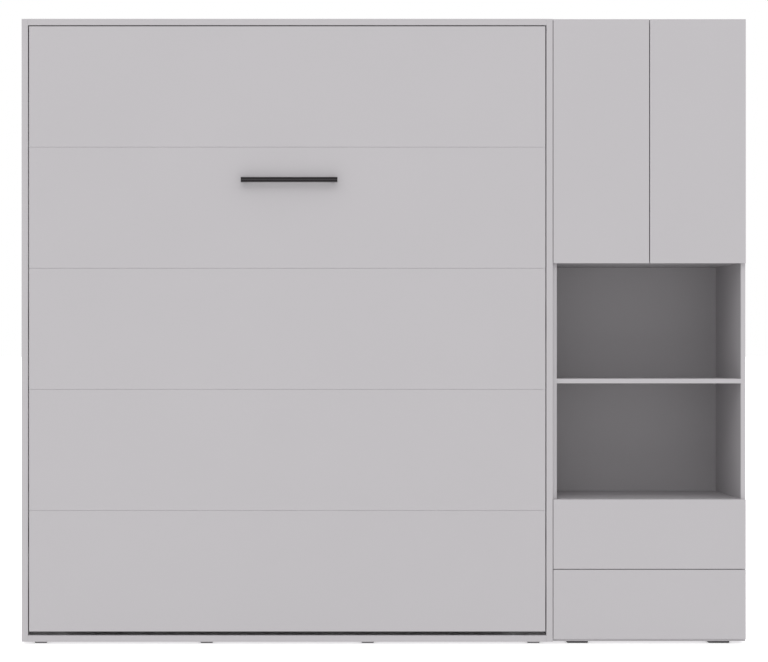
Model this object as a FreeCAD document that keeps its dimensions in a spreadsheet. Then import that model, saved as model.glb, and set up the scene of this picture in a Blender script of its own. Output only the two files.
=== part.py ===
import FreeCAD, Part
import math
import os
import re

import Sketcher

# A fold-down double bed in a tall cabinet, with a storage unit standing at its right side.
#
# Millimetres. x runs to the right, y from the fronts towards the wall, z up. The origin is on the
# floor, under the middle of the whole object's width and depth. The bed stands closed: its leaf
# is upright in the cabinet, and turns forward and down about two pins low in the cabinet's sides.

doc = FreeCAD.newDocument("CabinetBed")
sheet = doc.addObject("Spreadsheet::Sheet", "Sizes")

SIZES = {
    # bed cabinet
    "bed_width": 1852,
    "carcass_height": 2172,
    "cabinet_depth": 460,
    "bed_board": 22,
    "edge_radius": 1,
    "back_rail_thick": 18,
    "back_rail_height": 120,
    "headboard_rail_low": 1060,
    "wall_hole_radius": 4,
    "wall_hole_spacing": 900,
    # feet
    "foot_height": 8,
    "foot_depth": 50,
    "foot_setback": 30,
    "foot_chamfer": 2,
    "bed_foot_width": 43,
    "bed_foot_inset": 64,
    "bed_foot_inner": 282,
    "unit_foot_width": 73,
    "unit_foot_inset": 90,
    # leaf: the five boards of its front
    "leaf_side_gap": 4,
    "leaf_top_gap": 4,
    "leaf_bottom_gap": 14,
    "leaf_board_thick": 18,
    "leaf_groove": 1.2,
    # handle
    "handle_length": 336,
    "handle_height": 18,
    "handle_thick": 10,
    "handle_reach": 32,
    "handle_edge": 3.5,
    "handle_groove": 3,
    "handle_groove_depth": 1.5,
    "handle_groove_offset": 3.5,
    "handle_shift": 6.5,
    "handle_rise": 1573.5,
    "handle_post_width": 14,
    "handle_post_height": 11,
    "handle_post_inset": 6,
    # pivots
    "pivot_setback": 88,
    "pivot_rise": 330,
    "pin_radius": 10,
    "pin_play": 0.3,
    "pin_end_gap": 7,
    "pivot_plate_thick": 3,
    "pivot_plate_half": 60,
    "pivot_plate_shift": 10,
    "bush_radius": 22,
    "bush_length": 20,
    "plate_corner": 12,
    # steel frame of the leaf
    "frame_side_room": 64,
    "rail_width": 30,
    "rail_depth": 70,
    "rail_end_low": 18,
    "rail_end_top": 36,
    "cross_tube": 40,
    "tube_wall": 2,
    "mattress_play": 6,
    "pin_plate_thick": 5,
    "pin_plate_half": 45,
    "plate_front_gap": 4,
    # slats and their holders
    "slat_width": 68,
    "slat_thick": 8,
    "slat_bow": 9.7,
    "slat_end_gap": 16,
    "slat_first": 58,
    "slat_last": 44,
    "slat_play": 0.4,
    "holder_length": 30,
    "holder_grip": 15,
    "holder_wall": 3,
    "holder_mouth_room": 1,
    # mattress and the angle that it stands on
    "mattress_top_room": 49,
    "mattress_thick": 200,
    "mattress_low": 61,
    "mattress_corner": 45,
    "mattress_edge": 18,
    "seat_gap": 0.3,
    "stop_thick": 3,
    "stop_height": 80,
    "stop_end_gap": 106,
    # folding foot hoop
    "leg_pivot_setback": 100,
    "leg_pivot_drop": 14,
    "leg_tube_radius": 11,
    "leg_tube_wall": 2,
    "leg_arm_standoff": 22,
    "leg_bend": 60,
    "leg_tilt": 20,
    "leg_mattress_gap": 7,
    "leg_pin_radius": 6,
    "leg_plate_thick": 6,
    "leg_shoulder_radius": 9,
    "leg_plate_drop": 110,
    "leg_plate_foot": 50,
    "leg_plate_waist": 40,
    "leg_plate_shoulder": 45,
    "pad_thick": 3,
    "pad_length": 40,
    "pad_offset": 520,
    "floor_gap": 1.5,
    # gas struts
    "strut_standoff": 30,
    "strut_top_setback": 300,
    "strut_top_rise": 900,
    "strut_low_setback": 108,
    "strut_low_rise": 74,
    "strut_eye_radius": 12,
    "strut_eye_width": 14,
    "eye_overlap": 2,
    "pin_overlap": 1,
    "strut_neck": 20,
    "cylinder_radius": 12,
    "cylinder_wall": 2,
    "cylinder_length": 430,
    "cylinder_cap": 10,
    "rod_radius": 5,
    "rod_inside": 60,
    "piston_length": 8,
    "stud_radius": 5,
    "stud_plate_half": 28,
    "stud_end": 3,
    "strut_face_gap": 0.3,
    "strut_boss_length": 10,
    "strut_plate_front_gap": 22,
    "strut_plate_low": 12,
    "strut_plate_half": 16,
    "strut_plate_rise": 90,
    # storage unit
    "unit_width": 675,
    "unit_board": 16,
    "door_thick": 16,
    "door_gap": 2,
    "front_reveal": 2,
    "front_split": 3,
    "door_top_reveal": 1,
    "door_low": 1328,
    "bay_ceiling": 1329,
    "bay_shelf_low": 909,
    "bay_floor": 505,
    "back_panel_thick": 3,
    "back_panel_inset": 8,
    "groove_depth": 6,
    "groove_play": 0.1,
    "groove_end_gap": 0.3,
    "cupboard_shelf_low": 1748,
    "shelf_play": 1,
    "shelf_setback": 12,
    "shelf_pin_radius": 2.5,
    "shelf_pin_length": 16,
    "shelf_pin_hole": 9,
    "shelf_pin_play": 0.3,
    "shelf_pin_inset": 50,
    "shelf_hole_pitch": 32,
    # cup hinges
    "cup_radius": 17.5,
    "cup_depth": 11.5,
    "cup_wall": 1,
    "cup_play": 0.2,
    "cup_edge": 21.5,
    "cup_flange": 62,
    "cup_flange_thick": 1,
    "hinge_link_width": 18,
    "hinge_link_side": 10,
    "hinge_link_step": 3,
    "hinge_inset": 100,
    "hinge_plate_thick": 2,
    "hinge_plate_length": 50,
    "hinge_plate_height": 44,
    "hinge_plate_setback": 37,
    "hinge_arm_height": 14,
    "hinge_arm_width": 14,
    "hinge_arm_slope": 5,
    "hinge_nose_out": 4,
    "hinge_nose_in": 6,
    "hinge_nose_gap": 2,
    # push latches
    "latch_width": 12,
    "latch_length": 56,
    "latch_height": 14,
    "latch_offset": 40,
    "latch_setback": 1,
    "latch_bore": 40,
    "plunger_radius": 3,
    "plunger_length": 28,
    "plunger_play": 0.3,
    "plunger_bevel": 0.8,
    # drawers
    "drawer_front_high": 242,
    "drawer_split": 2.5,
    "drawer_low": 17.5,
    "drawer_board": 12,
    "drawer_back_gap": 33,
    "drawer_side_high": 160,
    "drawer_box_rise": 22,
    "drawer_floor_thick": 3,
    "drawer_floor_rise": 10,
    "drawer_floor_play": 0.5,
    "runner_gap": 13,
    "runner_air": 2,
    "runner_wall": 1.2,
    "runner_height": 35,
    "runner_rise": 70,
    "runner_play": 0.6,
    "runner_setback": 3,
}

for row, (alias, size) in enumerate(SIZES.items(), start=1):
    sheet.set(f"A{row}", alias.replace("_", " "))
    sheet.set(f"B{row}", str(size))
    sheet.setAlias(f"B{row}", alias)
doc.recompute()

# Edges and levels closer than this count as the same, and a cut removes more than this volume.
NEAR = 0.01
LEAF_BOARDS = 5
SLATS = 14
SHELF_HOLES = 5

# Places that several pieces share, worked out from the sizes.
FRONT = "(handle_reach / 2 - cabinet_depth / 2)"
WALL = "(handle_reach / 2 + cabinet_depth / 2)"
CARCASS_TOP = "(foot_height + carcass_height)"
BED_MID = "(0 - unit_width / 2)"
BED_ROOM = "(bed_width / 2 - bed_board)"
BED_FLOOR = "(foot_height + bed_board)"
LEAF_HALF = f"({BED_ROOM} - leaf_side_gap)"
LEAF_LOW = f"({BED_FLOOR} + leaf_bottom_gap)"
LEAF_TOP = f"({CARCASS_TOP} - bed_board - leaf_top_gap)"
LEAF_BOARD_HIGH = f"(({LEAF_TOP} - {LEAF_LOW} - {LEAF_BOARDS - 1} * leaf_groove) / {LEAF_BOARDS})"
PIVOT_HIGH = f"({LEAF_LOW} + pivot_rise)"
RAIL_OUTER = f"({LEAF_HALF} - frame_side_room)"
RAIL_INNER = f"({RAIL_OUTER} - rail_width)"
MATTRESS_HALF = f"({RAIL_INNER} - mattress_play)"
RAIL_LOW = f"({LEAF_LOW} + rail_end_low)"
RAIL_TOP = f"({LEAF_TOP} - rail_end_top)"
SLAT_BASE = "(leaf_board_thick + cross_tube + holder_wall + slat_play)"
MATTRESS_FLOOR = f"({SLAT_BASE} + slat_thick + slat_bow + seat_gap)"
MATTRESS_LOW = f"({LEAF_LOW} + mattress_low)"
MATTRESS_LENGTH = f"({LEAF_TOP} - mattress_top_room - {MATTRESS_LOW})"
SLAT_RUN = f"({MATTRESS_LENGTH} - slat_first - slat_width - slat_last)"
LEG_OFFSET = f"({RAIL_OUTER} + leg_arm_standoff)"
STRUT_OFFSET = f"({RAIL_OUTER} + strut_standoff)"
LEG_PIVOT_HIGH = f"({LEAF_TOP} - leg_pivot_drop)"
PAD_RADIUS = "(leg_tube_radius + pad_thick)"
LEG_REACH = f"({PIVOT_HIGH} + leg_pivot_setback - pivot_setback - {PAD_RADIUS} - floor_gap)"
LEG_LENGTH = f"({LEG_REACH} / cos(leg_tilt))"
LEG_STANDOFF = f"({MATTRESS_FLOOR} + mattress_thick + leg_mattress_gap + leg_tube_radius - leg_pivot_setback)"
LEG_ANGLE = f"asin({LEG_STANDOFF} / {LEG_LENGTH})"
STRUT_RUN_Y = "(strut_top_setback - strut_low_setback)"
STRUT_RUN_Z = "(strut_top_rise - strut_low_rise)"
STRUT_LENGTH = f"(sqrt({STRUT_RUN_Y} ^ 2 + {STRUT_RUN_Z} ^ 2))"
UNIT_LEFT = "(bed_width / 2 - unit_width / 2)"
UNIT_MID = "(bed_width / 2)"
UNIT_SETBACK = "(door_thick + door_gap)"
UNIT_INSIDE = "(unit_width - 2 * unit_board)"
PANEL_Y = "(cabinet_depth - back_panel_inset - back_panel_thick)"
UNIT_INNER_DEPTH = f"({PANEL_Y} - {UNIT_SETBACK})"
DRAWER_DEPTH = f"({PANEL_Y} - door_thick - drawer_back_gap)"
DOOR_WIDTH = "((unit_width - 2 * front_reveal - front_split) / 2)"
DOOR_HIGH = f"({CARCASS_TOP} - door_top_reveal - door_low)"
DRAWER_WIDTH = f"({UNIT_INSIDE} - 2 * runner_gap)"
DRAWER_LEFT = f"({UNIT_LEFT} + unit_board + runner_gap)"

ALIASES = re.compile(r"\b(" + "|".join(sorted(SIZES, key=len, reverse=True)) + r")\b")
NODES = []


def formula(text):
    """Points the names of sizes in a formula at the sheet's cells."""
    return ALIASES.sub(r"Sizes.\1", str(text))


def number(text):
    """Works a formula out with the sheet's present sizes."""
    result = sheet.evalExpression(formula(text))
    return float(getattr(result, "Value", result))


def node(piece):
    """Marks a piece as a sub-part that is written to its own file."""
    NODES.append(piece)
    return piece


def place(piece, x=0, y=0, z=0):
    """Binds the place of a piece's own origin."""
    for axis, text in (("x", x), ("y", y), ("z", z)):
        piece.setExpression(f"Placement.Base.{axis}", formula(text))


def lean(piece, angle, forward=False):
    """Turns a piece about an axis along x: the foot of a hanging piece moves to the wall, or forward."""
    axis = FreeCAD.Vector(-1 if forward else 1, 0, 0)
    piece.Placement = FreeCAD.Placement(FreeCAD.Vector(), FreeCAD.Rotation(axis, number(angle)))
    piece.setExpression("Placement.Rotation.Angle", formula(angle))


def new_body(label):
    body = doc.addObject("PartDesign::Body", label)
    body.Label = label
    return body


def add(body, kind, name):
    return body.newObject(kind, f"{body.Name}_{name}")


def new_sketch(body, plane, name, offset=None):
    """Starts a sketch on one of the body's own origin planes, at an offset along its normal."""
    sketch = add(body, "Sketcher::SketchObject", name)
    support = [item for item in body.Origin.OriginFeatures if item.Role == plane][0]
    sketch.AttachmentSupport = [(support, "")]
    sketch.MapMode = "FlatFace"
    if offset is not None:
        sketch.setExpression("AttachmentOffset.Base.z", formula(offset))
    return sketch


def bind(sketch, constraint, text):
    """Adds a constraint whose value follows a formula."""
    index = sketch.addConstraint(constraint)
    sketch.setExpression(f"Constraints[{index}]", formula(text))


def pin_point(sketch, geometry, end, point):
    """Holds one end of a line or arc, or a circle's centre, at a bound point."""
    x, y = (number(text) for text in point)
    bind(sketch, Sketcher.Constraint("DistanceX", -1, 1, geometry, end, x), point[0])
    bind(sketch, Sketcher.Constraint("DistanceY", -1, 1, geometry, end, y), point[1])


def draw_outline(sketch, points):
    """Draws a closed outline of straight lines through bound points."""
    first = sketch.GeometryCount
    spots = [FreeCAD.Vector(number(x), number(y), 0) for x, y in points]
    for start, end in zip(spots, spots[1:] + spots[:1]):
        sketch.addGeometry(Part.LineSegment(start, end), False)
    count = len(points)
    for index in range(count):
        follower = first + (index + 1) % count
        sketch.addConstraint(Sketcher.Constraint("Coincident", first + index, 2, follower, 1))
    for index, point in enumerate(points):
        pin_point(sketch, first + index, 1, point)


def rectangle(left, low, wide, high):
    """The corners of a rectangle, from its lower left corner and its size."""
    right = f"{left} + {wide}"
    top = f"{low} + {high}"
    return [(left, low), (right, low), (right, top), (left, top)]


def draw_circle(sketch, x, y, radius):
    index = sketch.GeometryCount
    middle = FreeCAD.Vector(number(x), number(y), 0)
    sketch.addGeometry(Part.Circle(middle, FreeCAD.Vector(0, 0, 1), number(radius)), False)
    pin_point(sketch, index, 3, (x, y))
    bind(sketch, Sketcher.Constraint("Radius", index, number(radius)), radius)


def pad(body, sketch, length, name, reverse=False):
    """Raises a sketch by a bound length along its normal, or against it."""
    feature = add(body, "PartDesign::Pad", name)
    feature.Profile = sketch
    feature.setExpression("Length", formula(length))
    feature.Reversed = reverse
    doc.recompute()
    return feature


def pocket(body, sketch, depth, name, reverse=False):
    """Cuts a sketch into the body against its normal, or along it, and makes sure that it cut."""
    before = body.Shape.Volume
    feature = add(body, "PartDesign::Pocket", name)
    feature.Profile = sketch
    feature.setExpression("Length", formula(depth))
    feature.Reversed = reverse
    doc.recompute()
    if body.Shape.Volume > before - NEAR:
        raise RuntimeError(f"{feature.Name} cuts nothing")
    return feature


def dress_edges(body, kind, size, test, name):
    """Rounds or bevels the edges of the body's tip whose box passes a test, in the body's own frame."""
    base = body.Tip
    chosen = [f"Edge{index}" for index, edge in enumerate(base.Shape.Edges, start=1) if test(edge.BoundBox)]
    if not chosen:
        raise RuntimeError(f"{body.Name} has no edges to {name}")
    feature = add(body, kind, name)
    feature.Base = (base, chosen)
    feature.setExpression("Radius" if kind.endswith("Fillet") else "Size", formula(size))
    doc.recompute()
    return feature


def round_edges(body, size, test, name="round"):
    return dress_edges(body, "PartDesign::Fillet", size, test, name)


def bevel_edges(body, size, test, name="bevel"):
    return dress_edges(body, "PartDesign::Chamfer", size, test, name)


def lies_at(axis, text):
    """A test for edges that lie whole in the plane where the axis has one value."""
    level = number(text)
    ends = (axis + "Min", axis + "Max")
    return lambda box: all(abs(getattr(box, end) - level) < NEAR for end in ends)


def runs_along(axis):
    """A test for straight edges that run along one axis."""
    others = [other for other in "XYZ" if other != axis]
    return lambda box: all(getattr(box, other + "Length") < NEAR for other in others)


def mirrored(label, source, middle):
    """A mirror image of a piece across the upright plane at a bound x."""
    image = doc.addObject("Part::Mirroring", label)
    image.Label = label
    image.Source = source
    image.Normal = FreeCAD.Vector(1, 0, 0)
    image.setExpression("Base.x", formula(middle))
    return image


def group(label, members):
    """Several like solids that share one node."""
    compound = doc.addObject("Part::Compound", label)
    compound.Label = label
    compound.Links = members
    return node(compound)


def pair(label, source, middle):
    """A piece and its mirror image, as one node."""
    return group(label, [source, mirrored(f"{label}_image", source, middle)])


def repeat_up(body, feature, length, count):
    """Repeats a feature upwards over a bound length."""
    pattern = add(body, "PartDesign::LinearPattern", "row")
    pattern.Originals = [feature]
    axis = [item for item in body.Origin.OriginFeatures if item.Role == "Z_Axis"][0]
    pattern.Direction = (axis, [""])
    pattern.setExpression("Length", formula(length))
    pattern.Occurrences = count
    body.Tip = pattern
    doc.recompute()
    return pattern


def board(label, wide, deep, high, x, y, z):
    """A plain board or block: its outline lies flat and is raised."""
    body = new_body(label)
    sketch = new_sketch(body, "XY_Plane", "outline")
    draw_outline(sketch, rectangle("0", "0", wide, deep))
    pad(body, sketch, high, "board")
    place(body, x, y, z)
    return body


def tube_along(label, plane, wide, high, wall, length, x, y, z):
    """A rectangular steel tube along the normal of one of the origin planes."""
    body = new_body(label)
    sketch = new_sketch(body, plane, "section")
    draw_outline(sketch, rectangle("0", "0", wide, high))
    draw_outline(sketch, rectangle(wall, wall, f"{wide} - 2 * {wall}", f"{high} - 2 * {wall}"))
    pad(body, sketch, length, "tube")
    place(body, x, y, z)
    return body


# ---------------------------------------------------------------- bed cabinet


def bed_carcass():
    """Two sides, top, bottom and three rails along the wall."""
    wide = f"(2 * {BED_ROOM})"
    left = f"{BED_MID} - {BED_ROOM}"
    for side, x in (("left", f"{BED_MID} - bed_width / 2"), ("right", f"{BED_MID} + {BED_ROOM}")):
        body = board(f"bed_side_{side}", "bed_board", "cabinet_depth", "carcass_height", x, FRONT, "foot_height")
        round_edges(body, "edge_radius", lies_at("Y", "0"))
        node(body)
    for name, z in (("top", f"{CARCASS_TOP} - bed_board"), ("bottom", "foot_height")):
        node(board(f"bed_{name}_board", wide, "cabinet_depth", "bed_board", left, FRONT, z))
    rail_y = f"{WALL} - back_rail_thick"
    rails = {
        "top": f"{CARCASS_TOP} - bed_board - back_rail_height",
        "headboard": "headboard_rail_low",
        "bottom": BED_FLOOR,
    }
    for name, z in rails.items():
        rail = node(board(f"back_rail_{name}", wide, "back_rail_thick", "back_rail_height", left, rail_y, z))
        if name == "top":
            drill_wall_holes(rail)


def drill_wall_holes(rail):
    """Two holes through the top rail for the screws that hold the cabinet to the wall."""
    sketch = new_sketch(rail, "XZ_Plane", "holes")
    for sign in ("-", "+"):
        x = f"{BED_ROOM} {sign} wall_hole_spacing / 2"
        draw_circle(sketch, x, "back_rail_height / 2", "wall_hole_radius")
    pocket(rail, sketch, "back_rail_thick", "drilled")


def feet(label, width, middles, x):
    """Low plastic feet under a carcass, in a front and a rear row."""
    body = new_body(label)
    sketch = new_sketch(body, "XY_Plane", "outlines")
    for y in ("foot_setback", "cabinet_depth - foot_setback - foot_depth"):
        for middle in middles:
            draw_outline(sketch, rectangle(f"{middle} - {width} / 2", y, width, "foot_depth"))
    pad(body, sketch, "foot_height", "blocks")
    bevel_edges(body, "foot_chamfer", lies_at("Z", "0"))
    place(body, x, FRONT, "0")
    return body


def all_feet():
    """Four pairs under the bed cabinet, two wider pairs under the storage unit."""
    outer = "(bed_width / 2 - bed_foot_inset)"
    bed_middles = [f"(0 - {outer})", "(0 - bed_foot_inner)", "bed_foot_inner", outer]
    unit_middles = ["unit_foot_inset", "(unit_width - unit_foot_inset)"]
    bed_feet = feet("bed_feet", "bed_foot_width", bed_middles, BED_MID)
    unit_feet = feet("unit_feet", "unit_foot_width", unit_middles, UNIT_LEFT)
    return group("feet", [bed_feet, unit_feet])


def pivot_plates():
    """Steel plates on the sides' inner faces, each with the bush that holds one of the leaf's pins."""
    body = new_body("pivot_plate")
    half = "pivot_plate_half"
    outline = new_sketch(body, "YZ_Plane", "outline")
    corner = (f"pivot_plate_shift - {half}", f"0 - {half}")
    draw_outline(outline, rectangle(*corner, f"2 * {half}", f"2 * {half}"))
    pad(body, outline, "pivot_plate_thick", "plate", reverse=True)
    round_edges(body, "plate_corner", runs_along("X"))
    ring = new_sketch(body, "YZ_Plane", "ring", "0 - pivot_plate_thick")
    draw_circle(ring, "0", "0", "bush_radius")
    pad(body, ring, "bush_length", "bush", reverse=True)
    bore = new_sketch(body, "YZ_Plane", "bore", "0 - pivot_plate_thick - bush_length")
    draw_circle(bore, "0", "0", "pin_radius + pin_play")
    pocket(body, bore, "bush_length", "bored", reverse=True)
    place(body, f"{BED_MID} + {BED_ROOM}", f"{FRONT} + pivot_setback", PIVOT_HIGH)
    return pair("pivot_plates", body, BED_MID)


# ---------------------------------------------------------------- leaf


def leaf_front():
    """Five equal boards, one above the other with a hairline between them."""
    for index in range(LEAF_BOARDS):
        z = f"{LEAF_LOW} + {index} * ({LEAF_BOARD_HIGH} + leaf_groove)"
        body = board(
            f"leaf_board_{index + 1}",
            f"(2 * {LEAF_HALF})",
            "leaf_board_thick",
            LEAF_BOARD_HIGH,
            f"{BED_MID} - {LEAF_HALF}",
            FRONT,
            z,
        )
        round_edges(body, "edge_radius", lies_at("Y", "0"))
        node(body)


def bar_handle():
    """A flat bar with rounded long edges and two grooves along its face, on two short posts."""
    body = new_body("bar_handle")
    section = new_sketch(body, "YZ_Plane", "section")
    bar_back = "0 - handle_reach"
    draw_outline(section, rectangle(bar_back, "0 - handle_height / 2", "handle_thick", "handle_height"))
    pad(body, section, "handle_length", "bar")
    along, outside = runs_along("X"), lies_at("Y", "0 - handle_reach")
    round_edges(body, "handle_edge", lambda box: along(box) and outside(box))
    grooves = new_sketch(body, "XZ_Plane", "grooves", "handle_reach")
    for sign in ("-", "+"):
        groove_low = f"0 {sign} handle_groove_offset - handle_groove / 2"
        draw_outline(grooves, rectangle("0", groove_low, "handle_length", "handle_groove"))
    pocket(body, grooves, "handle_groove_depth", "grooved")
    posts = new_sketch(body, "XZ_Plane", "posts")
    low = "0 - handle_post_height / 2"
    far = "handle_length - handle_post_inset - handle_post_width"
    for x in ("handle_post_inset", far):
        draw_outline(posts, rectangle(x, low, "handle_post_width", "handle_post_height"))
    pad(body, posts, "handle_reach - handle_thick / 2", "posts")
    place(body, f"{BED_MID} + handle_shift - handle_length / 2", FRONT, f"{LEAF_LOW} + handle_rise")
    return node(body)


def leaf_frame():
    """Welded steel tubes behind the boards: two side rails and three cross tubes."""
    y = f"{FRONT} + leaf_board_thick"
    rail_high = f"({RAIL_TOP} - {RAIL_LOW})"
    for side, x in (("left", f"{BED_MID} - {RAIL_OUTER}"), ("right", f"{BED_MID} + {RAIL_INNER}")):
        name = f"frame_rail_{side}"
        size = ("rail_width", "rail_depth", "tube_wall", rail_high)
        rail = tube_along(name, "XY_Plane", *size, x, y, RAIL_LOW)
        node(rail)
    heights = {
        "head": RAIL_LOW,
        "middle": f"({RAIL_LOW} + {RAIL_TOP} - cross_tube) / 2",
        "foot": f"{RAIL_TOP} - cross_tube",
    }
    for name, z in heights.items():
        cross = tube_along(
            f"frame_cross_{name}",
            "YZ_Plane",
            "cross_tube",
            "cross_tube",
            "tube_wall",
            f"(2 * {RAIL_INNER})",
            f"{BED_MID} - {RAIL_INNER}",
            y,
            z,
        )
        if name == "head":
            weld_mattress_stop(cross)
        node(cross)


def weld_mattress_stop(head):
    """An angle on the head tube, where the mattress stands when the bed is closed."""
    sketch = new_sketch(head, "YZ_Plane", "stop_section", "stop_end_gap")
    top = f"({MATTRESS_LOW} - seat_gap - {RAIL_LOW})"
    web_top = f"{top} - stop_thick"
    near = "cross_tube"
    points = [
        (near, "stop_thick"),
        (f"{near} + stop_thick", "stop_thick"),
        (f"{near} + stop_thick", web_top),
        (f"{near} + stop_height", web_top),
        (f"{near} + stop_height", top),
        (near, top),
    ]
    draw_outline(sketch, points)
    pad(head, sketch, f"2 * ({RAIL_INNER} - stop_end_gap)", "stop")


def pivot_pins():
    """Welded plates on the rails' outer faces, each with a pin that turns in the cabinet's bush."""
    body = new_body("pivot_pin")
    plate = new_sketch(body, "YZ_Plane", "plate")
    low = "(leaf_board_thick + plate_front_gap - pivot_setback)"
    draw_outline(plate, rectangle(low, "0 - pin_plate_half", f"pin_plate_half - {low}", "2 * pin_plate_half"))
    pad(body, plate, "pin_plate_thick", "plate")
    round_edges(body, "plate_corner", runs_along("X"))
    pin = new_sketch(body, "YZ_Plane", "pin")
    draw_circle(pin, "0", "0", "pin_radius")
    pad(body, pin, f"{BED_ROOM} - {RAIL_OUTER} - pin_end_gap", "pin")
    place(body, f"{BED_MID} + {RAIL_OUTER}", f"{FRONT} + pivot_setback", PIVOT_HIGH)
    return pair("pivot_pins", body, BED_MID)


def draw_bowed_strip(sketch, half, bow, thick):
    """Draws a strip that bows up between its ends: two equal arcs and two short ends."""
    radius = f"(({half} ^ 2 + {bow} ^ 2) / (2 * {bow}))"
    size = number(radius)
    side = number(half)
    corners = [(f"0 - {half}", "0"), (half, "0"), (half, thick), (f"0 - {half}", thick)]
    for level in (0, number(thick)):
        middle = FreeCAD.Vector(0, level + number(bow) - size, 0)
        rim = Part.Circle(middle, FreeCAD.Vector(0, 0, 1), size)
        start = rim.parameter(FreeCAD.Vector(side, level, 0))
        end = rim.parameter(FreeCAD.Vector(-side, level, 0))
        sketch.addGeometry(Part.ArcOfCircle(rim, start, end), False)
    for x in (-side, side):
        line = Part.LineSegment(FreeCAD.Vector(x, 0, 0), FreeCAD.Vector(x, number(thick), 0))
        sketch.addGeometry(line, False)
    joins = [(0, 1, 3, 1), (3, 2, 1, 1), (1, 2, 2, 2), (2, 1, 0, 2)]
    for first, end, second, start in joins:
        sketch.addConstraint(Sketcher.Constraint("Coincident", first, end, second, start))
    ends = [(2, 1), (3, 1), (3, 2), (2, 2)]
    for (geometry, end), point in zip(ends, corners):
        pin_point(sketch, geometry, end, point)
    for arc in (0, 1):
        bind(sketch, Sketcher.Constraint("Radius", arc, size), radius)


def bed_slats():
    """Bowed plywood slats across the leaf."""
    body = new_body("bed_slats")
    sketch = new_sketch(body, "XY_Plane", "section")
    draw_bowed_strip(sketch, f"({RAIL_INNER} - slat_end_gap)", "slat_bow", "slat_thick")
    slat = pad(body, sketch, "slat_width", "slat")
    repeat_up(body, slat, SLAT_RUN, SLATS)
    place(body, BED_MID, f"{FRONT} + {SLAT_BASE}", f"{MATTRESS_LOW} + slat_first")
    return node(body)


def slat_holders():
    """Moulded clips on the rails' inner faces that hold the slats' ends."""
    body = new_body("slat_holder_row")
    sketch = new_sketch(body, "XY_Plane", "section")
    low = "0 - slat_play"
    top = "slat_thick + slat_play + holder_mouth_room"
    mouth = "0 - holder_length"
    seat = "holder_grip - holder_length + slat_play"
    points = [
        ("0", f"{low} - holder_wall"),
        ("0", f"{top} + holder_wall"),
        (mouth, f"{top} + holder_wall"),
        (mouth, top),
        (seat, top),
        (seat, low),
        (mouth, low),
        (mouth, f"{low} - holder_wall"),
    ]
    draw_outline(sketch, points)
    clip = pad(body, sketch, "slat_width + 2 * holder_wall", "clip")
    repeat_up(body, clip, SLAT_RUN, SLATS)
    z = f"{MATTRESS_LOW} + slat_first - holder_wall"
    place(body, f"{BED_MID} + {RAIL_INNER}", f"{FRONT} + {SLAT_BASE}", z)
    return pair("slat_holders", body, BED_MID)


def mattress():
    """A plain block mattress with rounded corners and edges."""
    body = board(
        "mattress",
        f"2 * {MATTRESS_HALF}",
        "mattress_thick",
        MATTRESS_LENGTH,
        f"{BED_MID} - {MATTRESS_HALF}",
        f"{FRONT} + {MATTRESS_FLOOR}",
        MATTRESS_LOW,
    )
    round_edges(body, "mattress_corner", runs_along("Y"), "corners")
    under = lies_at("Y", "0")
    over = lies_at("Y", "mattress_thick")
    round_edges(body, "mattress_edge", lambda box: under(box) or over(box))
    return node(body)


# ---------------------------------------------------------------- folding foot hoop


def leg_brackets():
    """Plates near the rails' foot ends, each with the shouldered pin of one arm of the hoop."""
    body = new_body("leg_bracket")
    sketch = new_sketch(body, "YZ_Plane", "outline")
    rail_front = "(leaf_board_thick + plate_front_gap - leg_pivot_setback)"
    back = "leg_pivot_drop"
    points = [
        (rail_front, "0 - leg_plate_drop"),
        (f"{rail_front} + leg_plate_foot", "0 - leg_plate_drop"),
        (back, "0 - leg_plate_waist"),
        (back, "leg_pivot_drop"),
        (f"0 - {back}", "leg_pivot_drop"),
        (rail_front, "0 - leg_plate_shoulder"),
    ]
    draw_outline(sketch, points)
    pad(body, sketch, "leg_plate_thick", "plate")
    shoulder = new_sketch(body, "YZ_Plane", "shoulder")
    draw_circle(shoulder, "0", "0", "leg_shoulder_radius")
    arm_inner = "(leg_arm_standoff - leg_tube_radius)"
    pad(body, shoulder, f"{arm_inner} - pin_play", "shoulder")
    pin = new_sketch(body, "YZ_Plane", "pin")
    draw_circle(pin, "0", "0", "leg_pin_radius")
    pad(body, pin, f"{arm_inner} + 2 * leg_tube_radius", "pin")
    place(body, f"{BED_MID} + {RAIL_OUTER}", f"{FRONT} + leg_pivot_setback", LEG_PIVOT_HIGH)
    return pair("leg_brackets", body, BED_MID)


def draw_hoop_path(sketch):
    """The middle line of the right arm: straight down from above the pin, then a quarter bend inwards."""
    top = number("leg_tube_radius")
    length = number(LEG_LENGTH)
    bend = number("leg_bend")
    turn = FreeCAD.Vector(0, bend - length, 0)
    sketch.addGeometry(Part.LineSegment(FreeCAD.Vector(0, top, 0), turn), False)
    middle = FreeCAD.Vector(-bend, bend - length, 0)
    rim = Part.Circle(middle, FreeCAD.Vector(0, 0, 1), bend)
    low = FreeCAD.Vector(-bend, -length, 0)
    sketch.addGeometry(Part.ArcOfCircle(rim, rim.parameter(low), rim.parameter(turn) + math.tau), False)
    sketch.addConstraint(Sketcher.Constraint("Coincident", 0, 2, 1, 2))
    pin_point(sketch, 0, 1, ("0", "leg_tube_radius"))
    pin_point(sketch, 0, 2, ("0", f"leg_bend - {LEG_LENGTH}"))
    pin_point(sketch, 1, 1, ("0 - leg_bend", f"0 - {LEG_LENGTH}"))
    bind(sketch, Sketcher.Constraint("Radius", 1, bend), "leg_bend")


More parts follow.
